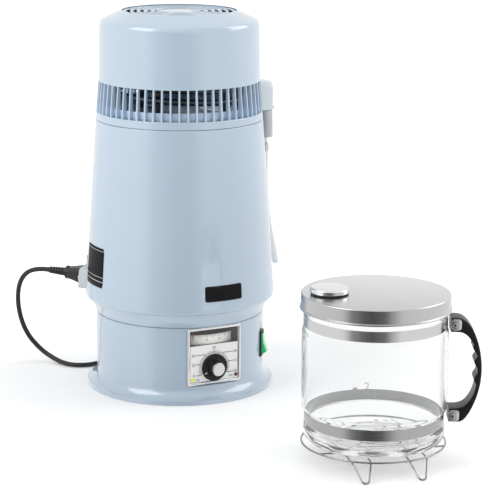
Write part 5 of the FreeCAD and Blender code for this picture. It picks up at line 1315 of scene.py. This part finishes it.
def floor():
    """A white floor with a painted glow: dim near the part, so the shade round it shows, and growing brighter away
    from it.
    """
    b = Board("floor_white")
    x, y, _ = b.xyz
    grain = b.noise(8.0, 2.0)
    away = b.clamped("MULTIPLY", (x * x + y * y) ** 0.5 - 0.2, 1.3)
    # Painted light: the floor's glow is low near the part and high further out
    white = b.finish(Base_Color=b.blend(grain, grey(0.86), grey(0.88)), Roughness=0.9,
                     Emission_Color=b.blend(away, grey(0.11), grey(0.66)), Emission_Strength=1.0)
    plane = stage_plane("floor", [(x, y, -0.0002) for x, y in ((-6, -6), (6, -6), (6, 6), (-6, 6))], white)
    plane.visible_glossy = False


def reflected_card():
    """A card of dark and pale bands on the camera's side, seen only in reflections."""
    b = Board("dark_card")
    x, y, _ = b.xyz
    way = CARD_RIGHT - CARD_LEFT
    along = ((x - CARD_LEFT[0]) * way[0] + (y - CARD_LEFT[1]) * way[1]) / (way @ way)
    tone = b.node("ShaderNodeValToRGB", {"stops": CARD_TONES}, along)
    dark = b.finish(Base_Color=grey(0.0), Roughness=1.0, Specular_IOR_Level=0.0, Emission_Color=tone,
                    Emission_Strength=1.0)
    card = stage_plane("camera_side_card", [(*CARD_LEFT, -3), (*CARD_RIGHT, -3), (*CARD_RIGHT, 0.9),
                                            (*CARD_LEFT, 0.9)], dark)
    for kind in ("camera", "diffuse", "shadow", "transmission"):
        setattr(card, "visible_" + kind, False)


def sky():
    """An even white world, full to the camera and in reflections and glass, and dimmer as a light."""
    world = bpy.data.worlds.new("studio_world")
    bpy.context.scene.world = world
    b = Board("studio_world", world=world)
    path = b.tree.nodes.new("ShaderNodeLightPath")
    seen = sum(Tap(b, path.outputs[name]) for name in ("Is Camera Ray", "Is Glossy Ray", "Is Transmission Ray"))
    share = b.node("ShaderNodeMath", {"operation": "MINIMUM"}, seen, 1.0)
    glow = b.node("ShaderNodeBackground", {}, Color=(1, 1, 1), Strength=share * 0.36 + 0.64)
    b.tree.links.new(glow.socket, b.output.inputs[0])


def softboxes():
    """Three broad square lamps aimed at the part."""
    for name, where, aim, power in (("left_softbox", (-1.9, -0.3, 1.7), (0, -0.1, 0.2), 21.0),
                                    ("right_softbox", (2.1, -0.7, 1.5), (0, -0.1, 0.2), 19.0),
                                    ("top_softbox", (0.2, 0.3, 2.4), (0.05, -0.15, 0.1), 12.0)):
        light = bpy.data.lights.new(name, "AREA")
        light.shape = "SQUARE"
        light.size = 1.6
        light.energy = power
        lamp = put(name, light)
        back = np.subtract(where, aim)
        back /= np.linalg.norm(back)
        side = np.cross(UP, back)
        side /= np.linalg.norm(side)
        stand_at(lamp, side, np.cross(back, side), back, where)
        lamp.visible_glossy = name != "top_softbox"


photo_camera()
mains_cord()
hose_cord()
base_shell()
collar()
barrel()
wall_plate("name_plate_blank", "name_plate", 2.5, 12.3, 127.3, 146.1, NAME_BLACK)
wall_plate("rating_plate_blank", "rating_plate", -91.0, 12.2, 133.8, 181.9, RATING_BLACK)
head_shell()
vent_fins()
top_grille()
spout_block()
cup_shell()
charcoal_pad()
coil_tie()
for plain, (finish, edge) in EASED.items():
    eased_copy(plain, finish, edge)
bezel()
face_plate()
dial_marks()
dial_numbers()
scale_print()
knob()
lamp_dome("heating_lamp_lens", "heating_lamp", -28.6, -28.6, YELLOW_LENS)
lamp_dome("standby_lamp_lens", "standby_lamp", 29.6, -27.6, RED_LENS)
switch_parts()
jug_body()
strap("lower_strap", "lower_band", 76.5, 43.6, 55.7, STEEL_LOWER)
strap("upper_strap", "upper_band", 78.3, 153.2, 165.3, STEEL_BAND)
handle()
bolt_parts()
lid()
filling_cap()
wire_stand()
measure_marks()
floor()
reflected_card()
sky()
softboxes()

scene = bpy.context.scene
scene.view_settings.view_transform = "Standard"
